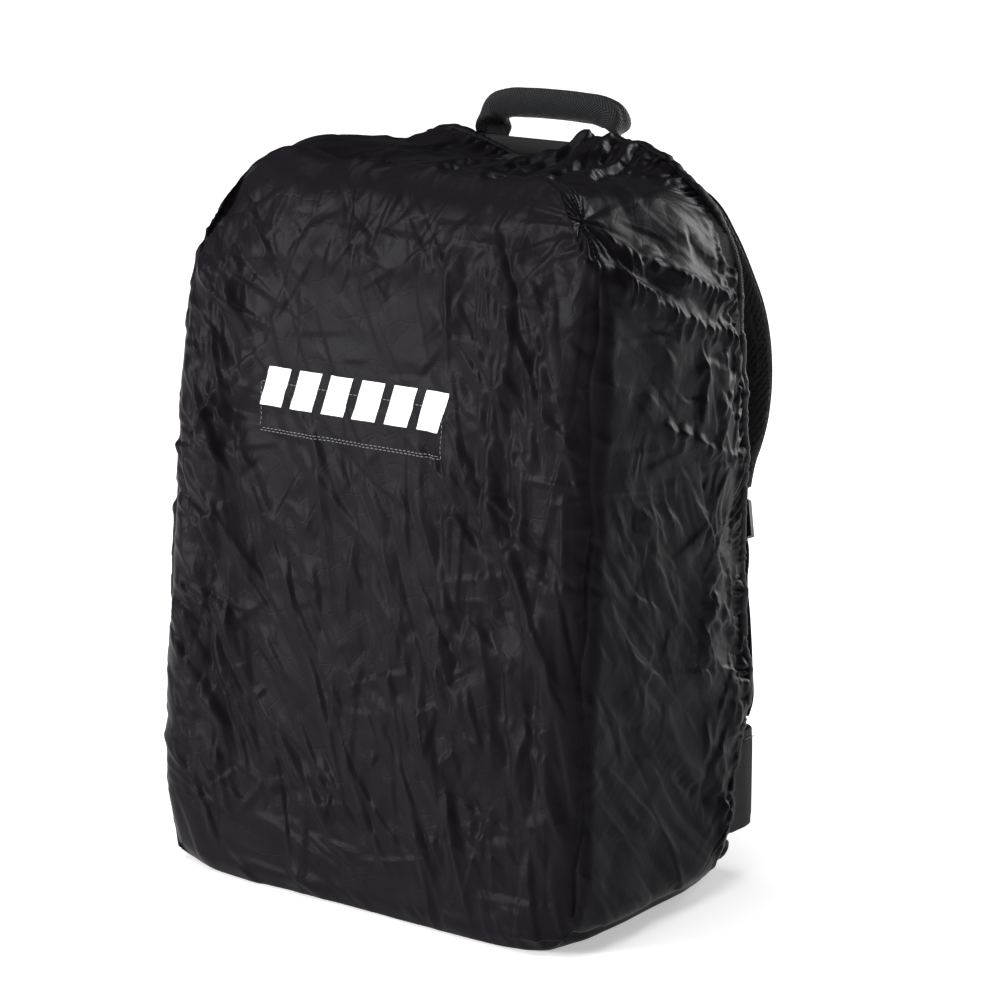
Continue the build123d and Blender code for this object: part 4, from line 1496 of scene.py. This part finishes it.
def wings(mats):
    """The smooth pads that wrap round the pack's lower corners."""
    for side, tag in SIDES:
        line = np.array([(114, 101.6), (124, 101.6), (140, 101.6), (150, 100.8), (156, 97), (158, 90),
                         (158, 78), (158, 65.5)])
        path = curve(np.column_stack([line, 0 * line[:, 0]]), 2.5)
        way = np.gradient(path[:, :2], axis=0)
        out = units(np.stack([way[:, 1], -way[:, 0]], 1))
        run = run_along(path[:, :2])
        rings = []
        for c, o, r in zip(path, out, run):
            ends = min(r, run[-1] - r)
            half = 31.3 - 7 * (1 - np.sqrt(np.clip(1 - (1 - min(ends / 9, 1)) ** 2, 0, 1)))
            thick = (2.4 if r < 30 else 1.85) * (0.45 + 0.55 * min(ends / 4, 1))
            a, b = oblong(half, -thick, thick, 36, 5)
            b = b * (1 - 0.2 * bump(np.abs(a), half - 4, 1.6))
            p = np.zeros((len(a), 3))
            p[:, 0] = side * (c[0] + b * o[0])
            p[:, 1] = c[1] + b * o[1]
            p[:, 2] = 65.5 + a
            rings.append(p)
        wing = skin(f"lumbar_wing_pad_{tag}", rings, mats["smooth"])
        place(wing, "access_panel", "pack_cloth", f"lumbar_wing_{tag}")
        bar = [(side * 160.1, y, 92.0) for y in (96.5, 84.5)]
        tack = stitches(f"wing_bartack_{tag}", np.linspace(bar[0], bar[1], 8), (side, 0, 0),
                        mats["thread_light"], 1.8, 0.5, 0.35, 0.0)
        place(tack, "access_panel", "webbing")


STRAP = ((77, 112, 415, 22), (83, 117, 405, 30), (89, 125, 386, 33), (95, 133, 364, 33), (99, 139, 345, 33),
         (103, 141, 285, 32), (108, 126, 256, 28), (118, 115, 234, 20))
PAD_STACK = 12.5
LOWER_WEB = ((118, 117.5, 232), (124, 116.5, 214), (130, 113, 200), (131, 110.3, 186), (135, 108.2, 160),
             (137.5, 107.7, 130), (138, 107.6, 108), (138, 103.6, 101))


def mirror_x(points, side):
    """Points of the right side, or their mirror image on the left."""
    return np.asarray(points, float) * np.array([side, 1, 1])


def strap_pad(side, tag, mats):
    """Foam strap: spacer mesh that wraps the inner face and both edges, cloth on the outer face."""
    stations = np.array(STRAP, float)
    path = curve(np.column_stack([stations[:, :3], stations[:, 3]]), 1.25)
    centre, half = path[:, :3], path[:, 3]
    _, wide, up = frames(centre, (1, 0, 0))
    up = up * np.sign(up[:, 1]).mean()
    total = len(centre)
    rings, count = [], 72
    pitch = 3.9
    run = run_along(centre)
    for k in range(total):
        end = min(run[k], run[-1] - run[k])
        taper = np.sqrt(np.clip(1 - (1 - min(end / 7, 1)) ** 2, 0.05, 1))
        x, y = oblong(half[k] - 1.2, 0.3, 10.3, count, 3.2)
        y = 5.3 + (y - 5.3) * (0.4 + 0.6 * taper)
        x = x * (0.75 + 0.25 * taper)
        arc = np.concatenate([[0], np.cumsum(np.hypot(np.diff(x), np.diff(y)))])
        hole = np.cos(2 * np.pi * arc / pitch) * np.cos(np.pi * run[k] / (pitch * 0.62))
        depth = 1.25 * smooth(0.1, 0.75, hole)
        inward = -np.stack([x / half[k] ** 2, (y - 5.3) / 5.0 ** 2], 1)
        inward /= np.maximum(np.linalg.norm(inward, axis=1), 1e-9)[:, None]
        x, y = x + inward[:, 0] * depth, y + inward[:, 1] * depth
        rings.append(laid(centre[k], x, y, wide[k], up[k]))
    mesh = skin(f"strap_air_mesh_{tag}", mirror_x(rings, side), mats["knit"])
    bend = ("access_panel", (side * 0.077, 0.112, 0.418), (side * 0.089, 0.125, 0.38))
    place(mesh, f"strap_{tag}", "air_mesh", f"strap_mesh_{tag}", f"strap_foam_{tag}", bend=bend)
    rows = slice(4, total - 4)
    face = []
    for c, w, n, h in zip(centre[rows], wide[rows], up[rows], half[rows]):
        x, y = oblong(h - 3.0, 8.6, PAD_STACK, 36, 3.4)
        crown = 1 - 0.15 * (x / h) ** 2
        face.append(laid(c, x, 8.6 + (y - 8.6) * crown, w, n))
    cloth = skin(f"strap_outer_cloth_{tag}", mirror_x(face, side), mats["pack_cloth"])
    place(cloth, f"strap_{tag}", "pack_cloth", f"strap_face_{tag}", bend=bend)
    sewn = []
    rail = (stations[4, :3] + stations[5, :3]) / 2
    middle = int(np.argmin(np.linalg.norm(centre - rail, axis=1)))
    rows = ((-1, 8, middle - 28), (-1, middle + 28, total - 8), (1, 8, total - 8))
    for k, (s, first, last) in enumerate(rows):
        row = slice(first, last)
        line = centre[row] + wide[row] * (s * (half[row] - 6.5))[:, None] + up[row] * (PAD_STACK - 0.45)
        sewn.append(stitches(f"row{k}", mirror_x(line, side), mirror_x(up[row], side), mats["thread"],
                             3.0, 1.2, 0.3))
    place(join(f"strap_stitching_{tag}", *sewn), f"strap_{tag}", "webbing", bend=bend)


TOP_TAB = ((76, 100.2, 404), (76, 101.6, 410), (76, 102.4, 420), (76.3, 104.5, 427), (77, 109.5, 427.5),
           (78, 114, 421), (80, 117.5, 412))
FOOT_TAB = ((138, 100.6, 92), (138, 101.2, 97), (138, 102.0, 104), (138, 105.2, 107.2), (138, 107.0, 104))


def strap_webbing(side, tag, mats):
    """The strap's lower webbing, and the two tabs that sew the strap to the panel."""

    def band(name, line, low, high):
        line = mirror_x(line, side)
        return strip(f"{name}_{tag}", line, (1, 0, 0), 12.4, low, high, mats["webbing"], count=24)

    place(band("strap_webbing", LOWER_WEB, 0.0, 1.7), f"strap_{tag}", "webbing", f"lower_webbing_{tag}",
          bend=("access_panel", (side * 0.138, 0.105, 0.101), (side * 0.137, 0.107, 0.125)))
    return band("strap_top_tab", TOP_TAB, -0.8, 0.8), band("strap_foot_tab", FOOT_TAB, -0.8, 0.8)


def box_stitch(x, y, z, half_x, half_z, material, name):
    """A sewn box with a cross in it, facing +Y."""
    c = [(x + i * half_x, z + j * half_z) for i, j in ((-1, -1), (1, -1), (1, 1), (-1, 1))]
    rows = list(zip(c, c[1:] + c[:1])) + [(c[0], c[2]), (c[1], c[3])]
    sewn = []
    for k, (a, b) in enumerate(rows):
        line = [(a[0] + (b[0] - a[0]) * t, y, a[1] + (b[1] - a[1]) * t) for t in np.linspace(0, 1, 6)]
        sewn.append(stitches(f"{name}{k}", line, (0, 1, 0), material, 1.9, 0.7, 0.22, 0.05))
    return sewn


def straps(mats):
    """Both shoulder straps, with their anchors."""
    anchors = []
    sewn = []
    for side, tag in SIDES:
        strap_pad(side, tag, mats)
        anchors += strap_webbing(side, tag, mats)
        sewn += box_stitch(side * 76, 103.3, 416, 9, 6, mats["thread"], f"top{tag}")
    place(join("strap_anchor_webbing", *anchors), "access_panel", "webbing", "strap_anchors")
    place(join("strap_anchor_stitching", *sewn), "access_panel", "webbing")


def chest_strap(mats):
    """The short webbing between each slider's bar and its buckle."""
    stations = np.array(STRAP, float)
    a, b = stations[4, :3], stations[5, :3]
    along = unit(*(b - a))
    wide = unit(*(np.array([1, 0, 0]) - along * along[0]))
    up = np.cross(wide, along)
    up *= np.sign(up[1])
    middle = (a + b) / 2 + up * PAD_STACK
    for side, tag in SIDES:
        offsets = ((-22.2, 5.7), (-23.5, 5.6), (-27, 4.9), (-33, 4.3), (-45, 4.0), (-55, 3.6))
        line = [middle + wide * x + up * (y - 0.6) for x, y in offsets]
        web = strip(f"chest_webbing_{tag}", mirror_x(line, side), mirror_x(along, side), 9.8, -0.7, 0.7,
                    mats["webbing"], count=20, step=1.5)
        place(web, f"chest_half_{tag}", "webbing", f"sternum_webbing_{tag}")


def carry_handle(mats):
    """Foam-cored grip of folded webbing, its ends flattened, turned and sewn to the yoke."""
    line = np.array([(-46, 102.2, 437), (-46, 102.4, 444), (-46.5, 103, 450), (-47, 104, 456),
                     (-46.5, 104.8, 461), (-43.5, 105, 465.6), (-37, 105, 468.2), (-20, 105, 469.8),
                     (0, 105, 470.2)])
    line = np.vstack([line, line[-2::-1] * np.array([-1, 1, 1])])
    path = curve(line, 1.6)
    along = units(np.gradient(path, axis=0))
    run = run_along(path)
    rings = []
    for c, t, r in zip(path, along, run):
        ends = min(r, run[-1] - r)
        turn = np.pi / 2 * (1 - smooth(9, 25, ends))
        back = unit(*(BACKWARD - t * t[1]))
        down = np.cross(back, t)
        side = np.cos(turn) * back + np.sin(turn) * down
        up = np.cross(side, t)
        full = smooth(14, 32, ends)
        w = 11.5 + (9.7 - 11.5) * full + 0.8 * bump(ends, 24, 5)
        h = 1.7 + (9.3 - 1.7) * full
        x, y = oblong(w, -h, h, 40, 4.5 + (2.15 - 4.5) * full)
        under = np.exp(-((np.arctan2(y, x) + np.pi / 2) / 0.09) ** 2) * full
        x, y = x * (1 - 0.1 * under), y * (1 - 0.13 * under)
        rings.append(laid(c, x, y, side, up))
    grip = skin("carry_handle_grip", rings, mats["grip"])
    place(grip, "handle", "webbing", "handle_webbing", "handle_grip",
          bend=("bag", (0, 0.102, 0.4405), (0, 0.102, 0.450)))
    tabs = []
    for side in (-1, 1):
        foot = ((side * 46, 100.7, 434), (side * 46, 101.3, 438), (side * 46, 101.6, 443.5))
        tabs.append(strip(f"tab{side}", foot, (1, 0, 0), 13.2, -0.9, 0.9, mats["webbing"],
                          count=20, step=1.5))
    sewn = []
    for side in (-1, 1):
        for z in (435.8, 437.2, 438.8, 440.4):
            row = [(side * 46 - 11, 102.6, z), (side * 46 + 11, 102.6, z)]
            sewn.append(stitches(f"tack{side}{z}", np.linspace(*row, 8), (0, 1, 0), mats["thread"],
                                 1.7, 0.6, 0.28))
    place(join("handle_sewn_tabs", *tabs), "bag", "webbing", "handle_tabs")
    place(join("handle_bartacks", *sewn), "bag", "webbing")


def yoke(mats):
    """The padded yoke under the handle and the panel's hinge."""
    outline = outline_points(-83, 83, 436.5, 449.5, 5, 5, 3)
    pad = cushion("rear_yoke_pad", outline, 91.2, 8.6, mats["pack_cloth"], 0.5, 4.5,
                  lambda x, z: 0.5 * np.sin(x / 6.5) ** 2)
    place(pad, "bag", "pack_cloth", "rear_yoke")
    x = np.linspace(-127.5, 127.5, 130)
    path = np.stack([x, 95 + 0.35 * np.sin(x / 3.1), 27 + 0.3 * np.sin(x / 4.3 + 1)], 1)
    roll = strip("panel_hinge_cloth", path, (0, 0, 1), 2.1, -2.1, 2.1, mats["pack_cloth"],
                 power=2.2, count=16)
    leaf = strip("hinge_leaf", [(x, 92.8, 25.9) for x in (-127, 0, 127)], (0, 1, 0), 2.2, -0.8, 0.8,
                 mats["pack_cloth"], count=14, step=6)
    place(join("panel_hinge_cloth", roll, leaf), "bag", "pack_cloth", "panel_hinge_roll")


def dress_cad(mats):
    """Materials of the CAD nodes that stay."""
    moulded = ("strap_rail", "ladder_lock", "sternum_slider", "sternum_buckle")
    finish = {"board": ("base_board", "frame_sheet"),
              "foam_board": ("divider_shelf_lower", "divider_shelf_upper", "divider_post"),
              "zinc": ("front_pocket_slider", "main_zip_slider"),
              "plastic": [f"{name}_{tag}" for tag in ("left", "right") for name in moulded]}
    for key, nodes in finish.items():
        for node in nodes:
            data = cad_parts[node].data
            if not data.materials:
                data.materials.append(mats[key])
            for k in range(len(data.materials)):
                data.materials[k] = mats[key]


def make_materials():
    """Every material of the model, by its use."""
    return {
        "cover": cover_cloth(),
        "pack_cloth": pack_cloth(),
        "smooth": pack_cloth("smooth_cloth", (0.008, 0.008, 0.009)),
        "webbing": webbing(),
        "grip": webbing("grip_webbing", 5.5),
        "binding": webbing("binding", 3.0),
        "pad_mesh": pad_mesh(),
        "knit": knit(),
        "plastic": plastic(),
        "zinc": painted_zinc(),
        "reflective": reflective(),
        "thread": thread("thread", (0.012, 0.012, 0.013)),
        "thread_light": thread("thread_light", (0.2, 0.2, 0.21)),
        "lining": laminate("lining", (0.09, 0.09, 0.095)),
        "foam_board": laminate("foam_board", (0.11, 0.11, 0.115)),
        "board": laminate("board", (0.03, 0.03, 0.03)),
        "tape": webbing("zip_tape", 1.5, (0.012, 0.012, 0.012)),
        "coil": plastic_coil(),
    }


# ---------------------------------------------------------------- stage, light and camera
CAMERA_AT, CAMERA_LENS, SENSOR = (1273.9, -1667.4, 744.4), 126.5, 36
CAMERA_AZIMUTH, CAMERA_PITCH = 36.61, 13.586
FLOOR_NEAR, FLOOR_FAR = 9000, 15000
FLOOR_GLOW, AROUND_GLOW = 0.45, 0.07
OVERHEAD_POWER, OVERHEAD_WIDTH, OVERHEAD_WAY = 2.4, 50, (0.12, 0.1, -1)
# Area lights: name, place, target, size and power.
AREA_LIGHTS = (("rear_right", (0.3, 2.6, 0.9), (0.15, 0, 0.3), (0.8, 1.5), 36),
               ("front_left", (-1.7, -2.5, 0.9), (0, 0, 0.25), (1.0, 1.5), 125))


def aim(obj, direction):
    """Turns a camera or a light to look along a direction."""
    obj.rotation_euler = Vector(direction).to_track_quat("-Z", "Y").to_euler()


def camera():
    """The photo's view: from the front right and a little above."""
    cam = bpy.data.cameras.new("camera")
    cam.lens = CAMERA_LENS
    cam.sensor_width = SENSOR
    obj = linked("camera", cam)
    obj.location = Vector(CAMERA_AT) * MM
    azimuth, pitch = np.radians(CAMERA_AZIMUTH), np.radians(CAMERA_PITCH)
    aim(obj, (-np.sin(azimuth) * np.cos(pitch), np.cos(azimuth) * np.cos(pitch), -np.sin(pitch)))
    bpy.context.scene.camera = obj


def area_light(name, place, target, size, power):
    """A rectangular light at a place, turned to its target."""
    data = bpy.data.lights.new(name, "AREA")
    data.shape = "RECTANGLE"
    data.size, data.size_y = size
    data.energy = power
    obj = linked(name, data)
    obj.location = Vector(place)
    aim(obj, Vector(target) - Vector(place))


def stage():
    """Pale floor, faint white surroundings, a wide overhead light and two area lights."""
    mat = Shade("floor", (0.9, 0.9, 0.9), 0.9, 0.2).mat
    lit = mat.node_tree.nodes["Principled BSDF"]
    lit.inputs["Emission Color"].default_value = (1, 1, 1, 1)
    lit.inputs["Emission Strength"].default_value = FLOOR_GLOW
    near, far = FLOOR_NEAR, FLOOR_FAR
    floor = to_mesh("floor", [(-near, -near, 0), (near, -near, 0), (near, far, 0), (-near, far, 0)],
                    [(0, 1, 2, 3)], mat)
    world = bpy.data.worlds.new("world")
    bpy.context.scene.world = world
    world.use_nodes = True
    background = world.node_tree.nodes["Background"]
    background.inputs["Color"].default_value = (1, 1, 1, 1)
    background.inputs["Strength"].default_value = AROUND_GLOW
    data = bpy.data.lights.new("overhead", "SUN")
    data.energy = OVERHEAD_POWER
    data.angle = np.radians(OVERHEAD_WIDTH)
    aim(linked("overhead", data), OVERHEAD_WAY)
    for light in AREA_LIGHTS:
        area_light(*light)
    bpy.context.scene.view_settings.view_transform = "Standard"


def cover_sheet():
    """The crumpled cover's grid and points."""
    across, up, rings = COVER_GRID
    coarse = CoverGrid(across, up, rings)
    base = base_surface(coarse)
    normal = coarse.normals(base)
    sheet = base + normal * large_height(base, normal)[:, None]
    sheet = relax(coarse, sheet, RELAX_STEPS)
    for level in (2, 4):
        fine = CoverGrid(level * across, level * up, level * rings)
        base = refine(coarse, fine, base)
        sheet = refine(coarse, fine, sheet)
        coarse = fine
    free = np.setdiff1d(np.arange(fine.count), fine.ring[-1])
    for _ in range(SMOOTH_STEPS):
        lift = sheet - base
        sheet[free] += (fine.average(lift) - lift)[free]
    flat = fine.normals(base)
    sheet += fine.normals(sheet) * fine_height(base, flat)[:, None]
    sheet[:, 2] = np.maximum(sheet[:, 2], 0.1)
    return fine, sheet


def main():
    """Builds every piece, then the stage."""
    camera()
    mats = make_materials()
    back_pads(mats)
    grid, sheet = cover_sheet()
    cover = to_mesh("rain_cover", sheet, grid.faces, mats["cover"])
    in_tunnel = ("cover_hem", "cover_elastic")
    covered = [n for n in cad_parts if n.startswith("cover_") and n not in in_tunnel]
    place(cover, "rain_cover", "cover_cloth", *covered)
    tunnel = hem_tunnel(grid, sheet, mats["cover"])
    tree = BVHTree.FromPolygons((sheet * MM).tolist(), grid.faces.tolist())
    print_rows = dashes(tree, mats["reflective"])
    sewn = patch_seam(tree, mats["thread_light"])
    pack_walls(mats["pack_cloth"], mats["lining"])
    front_pocket(mats["pack_cloth"], mats["tape"], mats["coil"])
    main_zip(mats["tape"], mats["coil"])
    access_panel(mats)
    wings(mats)
    straps(mats)
    chest_strap(mats)
    carry_handle(mats)
    yoke(mats)
    dress_cad(mats)
    stage()


main()
